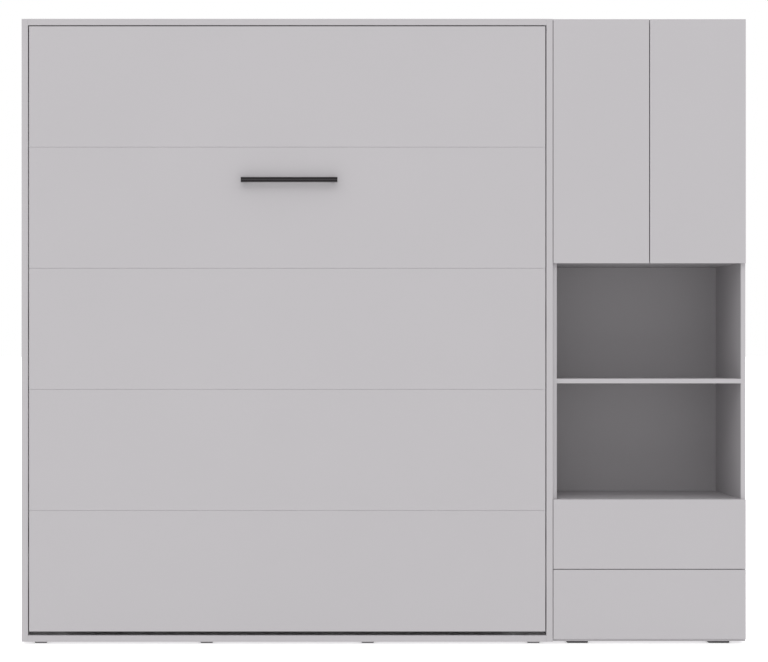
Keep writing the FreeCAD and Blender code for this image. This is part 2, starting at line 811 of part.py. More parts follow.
def foot_hoop():
    """The bent steel hoop that holds the mattress when closed and stands under the foot end when open."""
    arm = new_body("leg_arm_right")
    section = new_sketch(arm, "XY_Plane", "section", "leg_tube_radius")
    draw_circle(section, "0", "0", "leg_tube_radius")
    draw_circle(section, "0", "0", "leg_tube_radius - leg_tube_wall")
    path = new_sketch(arm, "XZ_Plane", "path")
    draw_hoop_path(path)
    pipe = add(arm, "PartDesign::AdditivePipe", "tube")
    pipe.Profile = section
    pipe.Spine = (path, ["Edge1", "Edge2"])
    doc.recompute()
    hole = new_sketch(arm, "YZ_Plane", "hole", "leg_tube_radius + pin_overlap")
    draw_circle(hole, "0", "0", "leg_pin_radius + pin_play")
    pocket(arm, hole, "2 * (leg_tube_radius + pin_overlap)", "bored")
    lean(arm, LEG_ANGLE)
    place(arm, f"{BED_MID} + {LEG_OFFSET}", f"{FRONT} + leg_pivot_setback", LEG_PIVOT_HIGH)
    node(arm)
    node(mirrored("leg_arm_left", arm, BED_MID))

    bar_y = f"{FRONT} + leg_pivot_setback + {LEG_STANDOFF}"
    bar_z = f"{LEG_PIVOT_HIGH} - sqrt({LEG_LENGTH} ^ 2 - {LEG_STANDOFF} ^ 2)"
    reach = f"({LEG_OFFSET} - leg_bend)"
    bar = new_body("leg_crossbar")
    ring = new_sketch(bar, "YZ_Plane", "section")
    draw_circle(ring, "0", "0", "leg_tube_radius")
    draw_circle(ring, "0", "0", "leg_tube_radius - leg_tube_wall")
    pad(bar, ring, f"2 * {reach}", "tube")
    place(bar, f"{BED_MID} - {reach}", bar_y, bar_z)
    node(bar)

    sleeve = new_body("leg_pad")
    ring = new_sketch(sleeve, "YZ_Plane", "section")
    draw_circle(ring, "0", "0", PAD_RADIUS)
    draw_circle(ring, "0", "0", "leg_tube_radius")
    pad(sleeve, ring, "pad_length", "sleeve")
    place(sleeve, f"{BED_MID} + pad_offset", bar_y, bar_z)
    pair("leg_pads", sleeve, BED_MID)


# ---------------------------------------------------------------- gas struts


def revolve(body, points, name):
    """Turns an outline about the body's own z axis. The outline is given as radius and height."""
    sketch = new_sketch(body, "XZ_Plane", f"{name}_profile")
    draw_outline(sketch, points)
    feature = add(body, "PartDesign::Revolution", name)
    feature.Profile = sketch
    axis = [item for item in body.Origin.OriginFeatures if item.Role == "Z_Axis"][0]
    feature.ReferenceAxis = (axis, [""])
    feature.Angle = 360
    doc.recompute()
    return feature


def add_eye(body, z):
    """A flat-sided eye whose axis runs along x."""
    sketch = new_sketch(body, "YZ_Plane", "eye", "0 - strut_eye_width / 2")
    draw_circle(sketch, "0", z, "strut_eye_radius")
    pad(body, sketch, "strut_eye_width", "eye_disc")


def place_strut(body):
    lean(body, f"atan2({STRUT_RUN_Y}; {STRUT_RUN_Z})", forward=True)
    place(body, f"{BED_MID} + {STRUT_OFFSET}", f"{FRONT} + strut_top_setback", "strut_top_rise")


def strut_cylinders():
    """Steel cylinders that hang from the cabinet's studs, closed at the top, guiding the rod at the foot."""
    body = new_body("strut_cylinder_right")
    top = "(0 - strut_neck)"
    low = f"({top} - cylinder_length)"
    bore = "(cylinder_radius - cylinder_wall)"
    points = [
        ("0", "eye_overlap - strut_eye_radius"),
        ("strut_eye_radius / 2", "eye_overlap - strut_eye_radius"),
        ("strut_eye_radius / 2", top),
        ("cylinder_radius", top),
        ("cylinder_radius", low),
        ("rod_radius + pin_play", low),
        ("rod_radius + pin_play", f"{low} + cylinder_cap"),
        (bore, f"{low} + cylinder_cap"),
        (bore, f"{top} - cylinder_cap"),
        ("0", f"{top} - cylinder_cap"),
    ]
    revolve(body, points, "barrel")
    add_eye(body, "0")
    hole = new_sketch(body, "YZ_Plane", "hole", "strut_eye_width / 2")
    draw_circle(hole, "0", "0", "stud_radius + pin_play")
    pocket(body, hole, "strut_eye_width", "bored")
    place_strut(body)
    node(body)
    return node(mirrored("strut_cylinder_left", body, BED_MID))


def strut_rods():
    """Rods with a piston inside the cylinder, and an eye with its pin at the leaf's bracket."""
    body = new_body("strut_rod_right")
    top = "(rod_inside - strut_neck - cylinder_length)"
    points = [
        ("0", f"strut_eye_radius - eye_overlap - {STRUT_LENGTH}"),
        ("rod_radius", f"strut_eye_radius - eye_overlap - {STRUT_LENGTH}"),
        ("rod_radius", f"{top} - piston_length"),
        ("cylinder_radius - cylinder_wall - pin_play", f"{top} - piston_length"),
        ("cylinder_radius - cylinder_wall - pin_play", top),
        ("0", top),
    ]
    revolve(body, points, "rod")
    add_eye(body, f"0 - {STRUT_LENGTH}")
    boss_face = "(leg_plate_thick + strut_boss_length)"
    reach = f"strut_standoff - {boss_face} - strut_eye_width / 2 - strut_face_gap"
    pin = new_sketch(body, "YZ_Plane", "pin", "pin_overlap - strut_eye_width / 2")
    draw_circle(pin, "0", f"0 - {STRUT_LENGTH}", "stud_radius")
    pad(body, pin, f"{reach} + pin_overlap", "pin", reverse=True)
    place_strut(body)
    node(body)
    return node(mirrored("strut_rod_left", body, BED_MID))


def strut_studs():
    """Plates on the cabinet's sides with the studs that the cylinders hang from."""
    body = new_body("strut_stud")
    half = "stud_plate_half"
    outline = new_sketch(body, "YZ_Plane", "outline")
    draw_outline(outline, rectangle(f"0 - {half}", f"0 - {half}", f"2 * {half}", f"2 * {half}"))
    pad(body, outline, "pivot_plate_thick", "plate", reverse=True)
    round_edges(body, "plate_corner", runs_along("X"))
    stud = new_sketch(body, "YZ_Plane", "stud")
    draw_circle(stud, "0", "0", "stud_radius")
    pad(body, stud, f"{BED_ROOM} - {STRUT_OFFSET} + strut_eye_width / 2 + stud_end", "stud", reverse=True)
    place(body, f"{BED_MID} + {BED_ROOM}", f"{FRONT} + strut_top_setback", "strut_top_rise")
    return pair("strut_studs", body, BED_MID)


def strut_brackets():
    """Plates at the rails' head ends with the bosses that the struts push on."""
    body = new_body("strut_bracket")
    outline = new_sketch(body, "YZ_Plane", "outline")
    front = "(leaf_board_thick + strut_plate_front_gap - strut_low_setback)"
    points = [
        (front, "0 - strut_plate_low"),
        ("strut_plate_half", "0 - strut_plate_half"),
        ("strut_plate_half", "strut_plate_half"),
        (front, "strut_plate_rise"),
    ]
    draw_outline(outline, points)
    pad(body, outline, "leg_plate_thick", "plate")
    boss = new_sketch(body, "YZ_Plane", "boss")
    draw_circle(boss, "0", "0", "strut_eye_radius")
    pad(body, boss, "leg_plate_thick + strut_boss_length", "boss")
    place(body, f"{BED_MID} + {RAIL_OUTER}", f"{FRONT} + strut_low_setback", "strut_low_rise")
    return pair("strut_brackets", body, BED_MID)


# ---------------------------------------------------------------- storage unit


def unit_sides():
    """Side boards with a groove for the back panel and rows of holes for the cupboard's shelf."""
    depth = f"(cabinet_depth - {UNIT_SETBACK})"
    y = f"{FRONT} + {UNIT_SETBACK}"
    body = board("unit_side_left", "unit_board", depth, "carcass_height", UNIT_LEFT, y, "foot_height")
    groove = new_sketch(body, "XY_Plane", "groove")
    groove_y = f"{UNIT_INNER_DEPTH} - groove_play"
    groove_wide = "back_panel_thick + 2 * groove_play"
    draw_outline(groove, rectangle("unit_board - groove_depth", groove_y, "groove_depth", groove_wide))
    pocket(body, groove, "carcass_height", "grooved", reverse=True)
    holes = new_sketch(body, "YZ_Plane", "holes", "unit_board")
    middle = "(cupboard_shelf_low - foot_height - shelf_pin_radius)"
    for hole_y in ("shelf_setback + shelf_pin_inset", f"{UNIT_INNER_DEPTH} - shelf_pin_inset"):
        for step in range(SHELF_HOLES):
            z = f"{middle} + {step - SHELF_HOLES // 2} * shelf_hole_pitch"
            draw_circle(holes, hole_y, z, "shelf_pin_radius")
    pocket(body, holes, "shelf_pin_hole", "drilled")
    node(body)
    return node(mirrored("unit_side_right", body, UNIT_MID))


def unit_boards():
    """The boards between the sides: top, under the doors, in the open bay, over the drawers, bottom."""
    left = f"{UNIT_LEFT} + unit_board"
    y = f"{FRONT} + {UNIT_SETBACK}"
    levels = {
        "unit_top_board": f"{CARCASS_TOP} - unit_board",
        "unit_middle_board": "bay_ceiling",
        "unit_bay_shelf": "bay_shelf_low",
        "unit_bay_floor": "bay_floor - unit_board",
        "unit_bottom_board": "foot_height",
    }
    for name, z in levels.items():
        node(board(name, UNIT_INSIDE, UNIT_INNER_DEPTH, "unit_board", left, y, z))


def unit_back_panel():
    """A thin back panel that slides in the sides' grooves."""
    into = "(groove_depth - groove_end_gap)"
    body = board(
        "unit_back_panel",
        f"{UNIT_INSIDE} + 2 * {into}",
        "back_panel_thick",
        "carcass_height",
        f"{UNIT_LEFT} + unit_board - {into}",
        f"{FRONT} + {PANEL_Y}",
        "foot_height",
    )
    return node(body)


def cupboard_shelf():
    """A loose shelf behind the doors, on four pins."""
    body = board(
        "cupboard_shelf",
        f"{UNIT_INSIDE} - 2 * shelf_play",
        f"{UNIT_INNER_DEPTH} - shelf_setback - shelf_play",
        "unit_board",
        f"{UNIT_LEFT} + unit_board + shelf_play",
        f"{FRONT} + {UNIT_SETBACK} + shelf_setback",
        "cupboard_shelf_low",
    )
    node(body)
    pin = new_body("shelf_pin_side")
    sketch = new_sketch(pin, "YZ_Plane", "section")
    for y in ("shelf_setback + shelf_pin_inset", f"{UNIT_INNER_DEPTH} - shelf_pin_inset"):
        draw_circle(sketch, y, "0 - shelf_pin_radius", "shelf_pin_radius")
    pad(pin, sketch, "shelf_pin_length", "pins")
    x = f"{UNIT_LEFT} + unit_board - shelf_pin_hole + shelf_pin_play"
    place(pin, x, f"{FRONT} + {UNIT_SETBACK}", "cupboard_shelf_low")
    pair("shelf_pins", pin, UNIT_MID)


def doors():
    """Two plain doors, each bored at the back for its two cup hinges."""
    body = board(
        "door_left",
        DOOR_WIDTH,
        "door_thick",
        DOOR_HIGH,
        f"{UNIT_LEFT} + front_reveal",
        FRONT,
        "door_low",
    )
    round_edges(body, "edge_radius", lies_at("Y", "0"))
    holes = new_sketch(body, "XZ_Plane", "holes", "0 - door_thick")
    for z in ("hinge_inset", f"{DOOR_HIGH} - hinge_inset"):
        draw_circle(holes, "cup_edge", z, "cup_radius + cup_play")
    pocket(body, holes, "cup_depth + cup_play", "bored", reverse=True)
    node(body)
    return node(mirrored("door_right", body, UNIT_MID))


def hinge_cup(level, z):
    """A round metal cup with a flange and the folded stub of its link."""
    body = new_body(f"hinge_cup_{level}")
    flange = new_sketch(body, "XZ_Plane", "flange", "0")
    draw_outline(flange, rectangle("0 - cup_radius", "0 - cup_flange / 2", "2 * cup_radius", "cup_flange"))
    pad(body, flange, "cup_flange_thick", "flange", reverse=True)
    round_edges(body, "plate_corner", runs_along("Y"))
    wall = new_sketch(body, "XZ_Plane", "wall")
    draw_circle(wall, "0", "0", "cup_radius")
    pad(body, wall, "cup_depth", "cup")
    hollow = new_sketch(body, "XZ_Plane", "hollow", "0 - cup_flange_thick")
    draw_circle(hollow, "0", "0", "cup_radius - cup_wall")
    pocket(body, hollow, "cup_depth + cup_flange_thick - cup_wall", "hollowed", reverse=True)
    link = new_sketch(body, "XZ_Plane", "link", "cup_depth - cup_wall")
    link_low = "0 - hinge_arm_height / 2"
    draw_outline(link, rectangle("0 - hinge_link_side", link_low, "hinge_link_width", "hinge_arm_height"))
    pad(body, link, "cup_depth - hinge_link_step", "link", reverse=True)
    place(body, f"{UNIT_LEFT} + front_reveal + cup_edge", f"{FRONT} + door_thick", z)
    return body


def hinge_arm(level, z):
    """A mounting plate on the unit's side with the arm that reaches to the front."""
    body = new_body(f"hinge_arm_{level}")
    plate = new_sketch(body, "YZ_Plane", "plate")
    low = "0 - hinge_plate_height / 2"
    draw_outline(plate, rectangle("hinge_plate_setback", low, "hinge_plate_length", "hinge_plate_height"))
    pad(body, plate, "hinge_plate_thick", "plate")
    arm = new_sketch(body, "XY_Plane", "arm", "0 - hinge_arm_height / 2")
    plate_end = "(hinge_plate_setback + hinge_plate_length)"
    points = [
        ("0", "hinge_plate_setback"),
        ("0", plate_end),
        ("hinge_arm_width / 2", f"{plate_end} + hinge_arm_slope"),
        ("hinge_arm_width", f"{plate_end} - hinge_arm_slope"),
        ("hinge_arm_width + hinge_nose_out", f"{UNIT_SETBACK} + hinge_nose_gap"),
        ("hinge_arm_width - hinge_nose_in", f"{UNIT_SETBACK} + hinge_nose_gap"),
    ]
    draw_outline(arm, points)
    pad(body, arm, "hinge_arm_height", "arm")
    place(body, f"{UNIT_LEFT} + unit_board", FRONT, z)
    return body


def hinges():
    """Two hinges on each door: cups on the doors, arms on the sides."""
    levels = {"low": "door_low + hinge_inset", "high": f"door_low + {DOOR_HIGH} - hinge_inset"}
    cups = [hinge_cup(level, z) for level, z in levels.items()]
    arms = [hinge_arm(level, z) for level, z in levels.items()]
    left = group("hinge_cups_left", cups)
    node(mirrored("hinge_cups_right", left, UNIT_MID))
    images = [mirrored(f"{arm.Label}_image", arm, UNIT_MID) for arm in arms]
    return group("hinge_arms", arms + images)


def push_latches():
    """Push-to-open latches under the unit's top board, with their sprung plungers."""
    body = new_body("push_latch")
    sketch = new_sketch(body, "XY_Plane", "outline")
    draw_outline(sketch, rectangle("0 - latch_width / 2", "0", "latch_width", "latch_length"))
    pad(body, sketch, "latch_height", "housing", reverse=True)
    bore = new_sketch(body, "XZ_Plane", "bore")
    draw_circle(bore, "0", "0 - latch_height / 2", "plunger_radius + plunger_play")
    pocket(body, bore, "latch_bore", "bored")
    x = f"{UNIT_MID} - latch_offset"
    place(body, x, f"{FRONT} + {UNIT_SETBACK} + latch_setback", f"{CARCASS_TOP} - unit_board")
    pair("push_latches", body, UNIT_MID)

    plunger = new_body("latch_plunger_left")
    sketch = new_sketch(plunger, "XZ_Plane", "section")
    draw_circle(sketch, "0", "0", "plunger_radius")
    pad(plunger, sketch, "plunger_length", "plunger", reverse=True)
    tip_y = f"{FRONT} + door_thick + plunger_play"
    place(plunger, x, tip_y, f"{CARCASS_TOP} - unit_board - latch_height / 2")
    bevel_edges(plunger, "plunger_bevel", lies_at("Y", "0"))
    node(plunger)
    return node(mirrored("latch_plunger_right", plunger, UNIT_MID))


# ---------------------------------------------------------------- drawers


def drawer_side(label, low):
    """A drawer side with a groove for the floor panel."""
    body = new_body(label)
    sketch = new_sketch(body, "XZ_Plane", "section")
    depth = "drawer_board / 2"
    floor_top = "drawer_floor_rise + drawer_floor_thick + 2 * groove_play"
    points = [
        ("0", "0"),
        ("drawer_board", "0"),
        ("drawer_board", "drawer_floor_rise"),
        (depth, "drawer_floor_rise"),
        (depth, floor_top),
        ("drawer_board", floor_top),
        ("drawer_board", "drawer_side_high"),
        ("0", "drawer_side_high"),
    ]
    draw_outline(sketch, points)
    pad(body, sketch, DRAWER_DEPTH, "side", reverse=True)
    place(body, DRAWER_LEFT, f"{FRONT} + door_thick", low)
    return body


def drawer_box(name, low):
    """Two sides, a front and a back board and a thin floor."""
    side = drawer_side(f"drawer_{name}_side", low)
    inside = f"({DRAWER_WIDTH} - 2 * drawer_board)"
    x = f"{DRAWER_LEFT} + drawer_board"
    y = f"{FRONT} + door_thick"
    end_low = "(drawer_floor_rise + drawer_floor_thick + 3 * groove_play)"
    ends = [
        board(
            f"drawer_{name}_{end}",
            inside,
            "drawer_board",
            f"drawer_side_high - {end_low}",
            x,
            end_y,
            f"{low} + {end_low}",
        )
        for end, end_y in (("inner_front", y), ("back", f"{y} + {DRAWER_DEPTH} - drawer_board"))
    ]
    floor = board(
        f"drawer_{name}_floor",
        f"{inside} + drawer_board - 2 * drawer_floor_play",
        DRAWER_DEPTH,
        "drawer_floor_thick",
        f"{x} - drawer_board / 2 + drawer_floor_play",
        y,
        f"{low} + drawer_floor_rise + groove_play",
    )
    image = mirrored(f"drawer_{name}_side_image", side, UNIT_MID)
    return group(f"drawer_box_{name}", [side, image, floor] + ends)


def channel(label, x, wide, high, mouth_right, z):
    """A folded steel channel along y, open to one side."""
    body = new_body(label)
    sketch = new_sketch(body, "XZ_Plane", "section")
    wall = "runner_wall"
    back, lip = ("0", wide) if mouth_right else (wide, "0")
    inner = wall if mouth_right else f"{wide} - {wall}"
    points = [
        (back, f"0 - {high} / 2"),
        (lip, f"0 - {high} / 2"),
        (lip, f"{wall} - {high} / 2"),
        (inner, f"{wall} - {high} / 2"),
        (inner, f"{high} / 2 - {wall}"),
        (lip, f"{high} / 2 - {wall}"),
        (lip, f"{high} / 2"),
        (back, f"{high} / 2"),
    ]
    draw_outline(sketch, points)
    pad(body, sketch, DRAWER_DEPTH, "channel", reverse=True)
    place(body, x, f"{FRONT} + {UNIT_SETBACK} + runner_setback", z)
    return body


def drawers():
    """Two drawers with plain fronts, on steel runners at their sides."""
    lows = {"lower": "drawer_low", "upper": "(drawer_low + drawer_front_high + drawer_split)"}
    fixed = []
    for name, low in lows.items():
        front = board(
            f"drawer_front_{name}",
            "unit_width - 2 * front_reveal",
            "door_thick",
            "drawer_front_high",
            f"{UNIT_LEFT} + front_reveal",
            FRONT,
            low,
        )
        round_edges(front, "edge_radius", lies_at("Y", "0"))
        node(front)
        drawer_box(name, f"({low} + drawer_box_rise)")
        z = f"{low} + drawer_box_rise + runner_rise"
        side_x = f"{UNIT_LEFT} + unit_board"
        outer = channel(f"runner_{name}", side_x, "(runner_gap - runner_air)", "runner_height", True, z)
        fixed += [outer, mirrored(f"runner_{name}_image", outer, UNIT_MID)]
        inner_high = "(runner_height - 2 * runner_wall - 2 * runner_play)"
        inner_x = f"{side_x} + runner_wall + runner_play"
        inner_wide = "(runner_gap - runner_wall - runner_play)"
        inner = channel(f"slide_{name}", inner_x, inner_wide, inner_high, False, z)
        pair(f"drawer_slides_{name}", inner, UNIT_MID)
    return group("drawer_runners", fixed)


# ---------------------------------------------------------------- build and write


def build():
    bed_carcass()
    all_feet()
    pivot_plates()
    strut_studs()
    leaf_front()
    bar_handle()
    leaf_frame()
    pivot_pins()
    bed_slats()
    slat_holders()
    mattress()
    leg_brackets()
    foot_hoop()
    strut_brackets()
    strut_cylinders()
    strut_rods()
    unit_sides()
    unit_boards()
    unit_back_panel()
    cupboard_shelf()
    doors()
    hinges()
    push_latches()
    drawers()
    doc.recompute()


def check():
    """Stops if any object failed or any sub-part has no sound shape."""
    for item in doc.Objects:
        if "Invalid" in item.State or "Error" in item.State:
            raise RuntimeError(f"{item.Label} failed: {item.State}")
    for piece in NODES:
        if piece.Shape.isNull() or not piece.Shape.isValid() or not piece.Shape.Solids:
            raise RuntimeError(f"{piece.Label} has no sound shape")


def write():
    os.makedirs("parts", exist_ok=True)
    for piece in NODES:
        piece.Shape.exportStep(f"parts/{piece.Label}.step")


build()
check()
write()
print(len(NODES), "sub-parts written")
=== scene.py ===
"""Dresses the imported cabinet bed: materials, mattress, fasteners, camera and light.

Lengths are in metres, with +Z up and the front along -Y."""

import math

import bmesh
import bpy
from mathutils import Matrix, Vector, noise

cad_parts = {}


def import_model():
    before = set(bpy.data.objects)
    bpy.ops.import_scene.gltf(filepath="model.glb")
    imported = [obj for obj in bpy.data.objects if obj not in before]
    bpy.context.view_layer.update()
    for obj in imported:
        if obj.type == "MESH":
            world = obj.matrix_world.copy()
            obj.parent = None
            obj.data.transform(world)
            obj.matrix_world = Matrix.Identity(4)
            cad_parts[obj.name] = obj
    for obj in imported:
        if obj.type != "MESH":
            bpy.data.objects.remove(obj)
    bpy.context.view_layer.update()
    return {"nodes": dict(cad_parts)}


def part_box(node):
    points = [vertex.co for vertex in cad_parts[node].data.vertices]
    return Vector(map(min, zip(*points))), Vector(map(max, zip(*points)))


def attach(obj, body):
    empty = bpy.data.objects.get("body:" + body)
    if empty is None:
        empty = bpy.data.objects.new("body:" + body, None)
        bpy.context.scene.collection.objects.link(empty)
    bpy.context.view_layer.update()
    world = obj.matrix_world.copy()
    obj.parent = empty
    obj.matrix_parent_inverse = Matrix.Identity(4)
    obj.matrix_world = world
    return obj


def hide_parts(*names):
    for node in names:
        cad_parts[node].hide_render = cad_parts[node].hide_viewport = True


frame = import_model()

# Middles of the bed cabinet and of the storage unit along x, and the front faces' place along y.
MID = -0.3375
UNIT_MID = 0.926
FRONT = -0.214
# The leaf's pivot and the struts' upper studs: distance behind the front faces, and height.
PIVOT_BACK, PIVOT_UP = 0.088, 0.374
STUD_BACK, STUD_UP = 0.3, 0.9
# The back faces of the frame's cross tubes, behind the front faces.
TUBES_BACK = 0.058
CROSS_TUBES = ("frame_cross_head", "frame_cross_middle", "frame_cross_foot")


def tone(red, green, blue):
    """An sRGB colour, 0 to 255, as the linear values that shaders take."""
    shares = [level / 255 for level in (red, green, blue)]
    return (*(((c + 0.055) / 1.055) ** 2.4 if c > 0.04045 else c / 12.92 for c in shares), 1.0)


def shade(colour, factor):
    """A colour made darker or lighter by a factor."""
    return (*(c * factor for c in colour[:3]), 1.0)


# ---------------------------------------------------------------- materials


class Surface:
    """A procedural material whose patterns are laid out in metres on the object."""

    def __init__(self, name, metallic=0.0, specular=0.5):
        self.material = bpy.data.materials.new(name)
        self.material.use_nodes = True
        self.tree = self.material.node_tree
        self.shader = next(n for n in self.tree.nodes if n.type == "BSDF_PRINCIPLED")
        self.shader.inputs["Metallic"].default_value = metallic
        self.shader.inputs["Specular IOR Level"].default_value = specular
        self.place = self.add("ShaderNodeTexCoord").outputs["Object"]
        self.heights = []

    def add(self, kind, **options):
        made = self.tree.nodes.new(kind)
        for key, value in options.items():
            setattr(made, key, value)
        return made

    def feed(self, socket, value):
        if isinstance(value, bpy.types.NodeSocket):
            self.tree.links.new(value, socket)
        else:
            socket.default_value = value

    def maths(self, operation, *values, clamp=False):
        made = self.add("ShaderNodeMath", operation=operation, use_clamp=clamp)
        for socket, value in zip(made.inputs, values):
            self.feed(socket, value)
        return made.outputs[0]

    def stretched(self, x, y, z):
        made = self.add("ShaderNodeMapping")
        self.feed(made.inputs["Vector"], self.place)
        made.inputs["Scale"].default_value = (x, y, z)
        return made.outputs[0]

    def axis(self, letter):
        made = self.add("ShaderNodeSeparateXYZ")
        self.feed(made.inputs[0], self.place)
        return made.outputs[letter]

    def within(self, low, high):
        """1 inside the box between two corners."""
        inside = 1.0
        for letter, start, end in zip("XYZ", low, high):
            above = self.maths("GREATER_THAN", self.axis(letter), start)
            below = self.maths("LESS_THAN", self.axis(letter), end)
            inside = self.maths("MULTIPLY", inside, self.maths("MULTIPLY", above, below))
        return inside

    def normal(self, letter):
        """How far the surface faces along an axis, 0 to 1."""
        made = self.add("ShaderNodeSeparateXYZ")
        self.feed(made.inputs[0], self.add("ShaderNodeTexCoord").outputs["Normal"])
        return self.maths("ABSOLUTE", made.outputs[letter])

    def grain(self, x, y=None, z=None, detail=3.0, rough=0.55):
        """Noise, with a number of features per metre along each axis."""
        made = self.add("ShaderNodeTexNoise")
        scaled = self.stretched(x, x if y is None else y, x if z is None else z)
        self.feed(made.inputs["Vector"], scaled)
        made.inputs["Scale"].default_value = 1.0
        made.inputs["Detail"].default_value = detail
        made.inputs["Roughness"].default_value = rough
        return made.outputs[0]

    def ramp(self, value, *stops):
        """Maps a value through stops of a position and a grey level or colour."""
        made = self.add("ShaderNodeValToRGB")
        self.feed(made.inputs[0], value)
        elements = made.color_ramp.elements
        while len(elements) < len(stops):
            elements.new(0.5)
        for element, (position, level) in zip(elements, stops):
            element.position = position
            element.color = level if isinstance(level, tuple) else (level, level, level, 1.0)
        return made.outputs[0]

    def mix(self, amount, first, second, blend="MIX"):
        made = self.add("ShaderNodeMix", data_type="RGBA", blend_type=blend)
        self.feed(made.inputs["Factor"], amount)
        self.feed(made.inputs[6], first)
        self.feed(made.inputs[7], second)
        return made.outputs[2]

    def colour(self, value):
        self.feed(self.shader.inputs["Base Color"], value)

    def roughness(self, value, low, high):
        made = self.add("ShaderNodeMapRange")
        self.feed(made.inputs["Value"], value)
        made.inputs["To Min"].default_value = low
        made.inputs["To Max"].default_value = high
        self.feed(self.shader.inputs["Roughness"], made.outputs[0])

    def bump(self, height, distance, strength=1.0):
        """Adds relief: a height from 0 to 1 stands for a distance in metres."""
        made = self.add("ShaderNodeBump")
        made.inputs["Strength"].default_value = strength
        made.inputs["Distance"].default_value = distance
        self.feed(made.inputs["Height"], height)
        if self.heights:
            self.feed(made.inputs["Normal"], self.heights[-1])
        self.heights.append(made.outputs[0])
        self.feed(self.shader.inputs["Normal"], made.outputs[0])


def laminate(name, colour, insides=()):
    """Melamine-faced board: one even colour, a fine pearled surface and a faint cloudiness.

    Faces inside one of the boxes are painted a shade darker, as painted shade inside the carcasses."""
    made = Surface(name, specular=0.35)
    cloud = made.grain(3.0, detail=2.0)
    speck = made.grain(900.0, detail=2.0)
    soft = made.mix(cloud, shade(colour, 0.985), shade(colour, 1.015))
    # Painted shade: faces inside the carcasses are darkened by a factor.
    for inside in insides:
        soft = made.mix(made.within(*inside), soft, shade(colour, INSIDE_PAINTED_SHADE))
    made.colour(made.mix(made.ramp(speck, (0.35, 0.0), (0.65, 0.12)), soft, shade(colour, 0.9)))
    made.roughness(speck, 0.46, 0.6)
    made.bump(speck, 0.00002)
    return made.material


def powder_coat(name, colour, rough=0.5, peel=420.0):
    """Sprayed and baked paint on steel: orange peel, with dust and slight rubbing."""
    made = Surface(name, specular=0.5)
    skin = made.grain(peel, detail=1.5)
    dust = made.grain(30.0, detail=4.0)
    made.colour(made.mix(made.ramp(dust, (0.45, 0.0), (0.75, 0.35)), colour, shade(colour, 1.35)))
    made.roughness(dust, rough - 0.08, rough + 0.12)
    made.bump(skin, 0.00006)
    made.bump(made.grain(2500.0, detail=1.0), 0.000008)
    return made.material


def zinc(name):
    """Zinc-plated steel: a soft sheen with cloudy spangle and fine rolling marks."""
    made = Surface(name, metallic=1.0)
    cells = made.add("ShaderNodeTexVoronoi")
    made.feed(cells.inputs["Vector"], made.stretched(260.0, 260.0, 260.0))
    cloud = made.grain(60.0, detail=4.0)
    base = made.mix(cloud, tone(176, 178, 178), tone(206, 207, 203))
    made.colour(made.mix(0.12, base, cells.outputs["Color"], blend="SOFT_LIGHT"))
    made.roughness(cloud, 0.28, 0.46)
    made.bump(made.grain(90.0, 90.0, 1800.0, detail=2.0), 0.00001)
    return made.material


def polished(name, colour, rough):
    """A drawn or plated rod: bright, with hairline marks along its length."""
    made = Surface(name, metallic=1.0)
    marks = made.grain(1500.0, 1500.0, 12.0, detail=2.0)
    made.colour(made.mix(made.ramp(marks, (0.3, 0.0), (0.8, 0.3)), colour, shade(colour, 0.8)))
    made.roughness(marks, rough, rough + 0.1)
    made.bump(marks, 0.000006)
    return made.material


def moulded(name, colour, rough, specular=0.45):
    """Injection-moulded plastic with a spark-eroded grain."""
    made = Surface(name, specular=specular)
    skin = made.grain(1600.0, detail=2.0)
    wear = made.grain(45.0, detail=5.0)
    made.colour(made.mix(made.ramp(wear, (0.4, 0.0), (0.8, 0.4)), colour, shade(colour, 1.25)))
    made.roughness(wear, rough - 0.06, rough + 0.12)
    made.bump(skin, 0.00004)
    return made.material


def beech_ply(name):
    """Peeled beech plies: fibres along x, short dark flecks, and the plies' lines on long edges."""
    made = Surface(name, specular=0.4)
    fibre = made.grain(9.0, 420.0, 420.0, detail=5.0, rough=0.6)
    band = made.grain(1.6, 40.0, 26.0, detail=3.0)
    fleck = made.grain(120.0, 900.0, 900.0, detail=1.0)
    wood = made.mix(fibre, tone(222, 190, 146), tone(196, 158, 112))
    wood = made.mix(made.ramp(band, (0.35, 0.0), (0.7, 0.55)), wood, tone(231, 205, 166))
    wood = made.mix(made.ramp(fleck, (0.62, 0.0), (0.7, 0.6)), wood, tone(158, 118, 80))
    half_length, bow, ply = 0.79, 0.0097, 0.0016
    across = made.maths("DIVIDE", made.maths("ADD", made.axis("X"), -MID), half_length)
    bowed = made.maths("MULTIPLY_ADD", made.maths("MULTIPLY", across, across), bow, made.axis("Y"))
    plies = made.maths("SINE", made.maths("MULTIPLY", bowed, 2 * math.pi / ply))
    edge = made.maths("GREATER_THAN", made.normal("Z"), 0.7)
    lines = made.maths("MULTIPLY", edge, made.ramp(plies, (0.0, 0.0), (0.9, 0.75)))
    made.colour(made.mix(lines, wood, tone(150, 112, 74)))
    made.roughness(fibre, 0.38, 0.55)
    made.bump(fibre, 0.00003)
    made.bump(plies, 0.00002, 0.4)
    return made.material


def brushed_bar(name):
    """Dark anodised bar, brushed along its length, with painted shade in the two grooves of its face.
    """
    made = Surface(name, metallic=0.85)
    lines = made.grain(14.0, 2600.0, 2600.0, detail=3.0)
    low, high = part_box("bar_handle")
    middle = (low.z + high.z) / 2
    shallow, deep, half_width = 0.0004, 0.002, 0.0016
    grooves = 0.0
    for rise in (-0.0035, 0.0035):
        start = (low.x, low.y + shallow, middle + rise - half_width)
        end = (high.x, low.y + deep, middle + rise + half_width)
        grooves = made.maths("ADD", grooves, made.within(start, end))
    body = made.mix(lines, tone(48, 46, 48), tone(74, 71, 73))
    # Painted shade in the grooves: their faces are darkened to near black.
    made.colour(made.mix(grooves, body, tone(24, 23, 24)))
    made.roughness(lines, 0.34, 0.52)
    made.bump(lines, 0.00001)
    return made.material


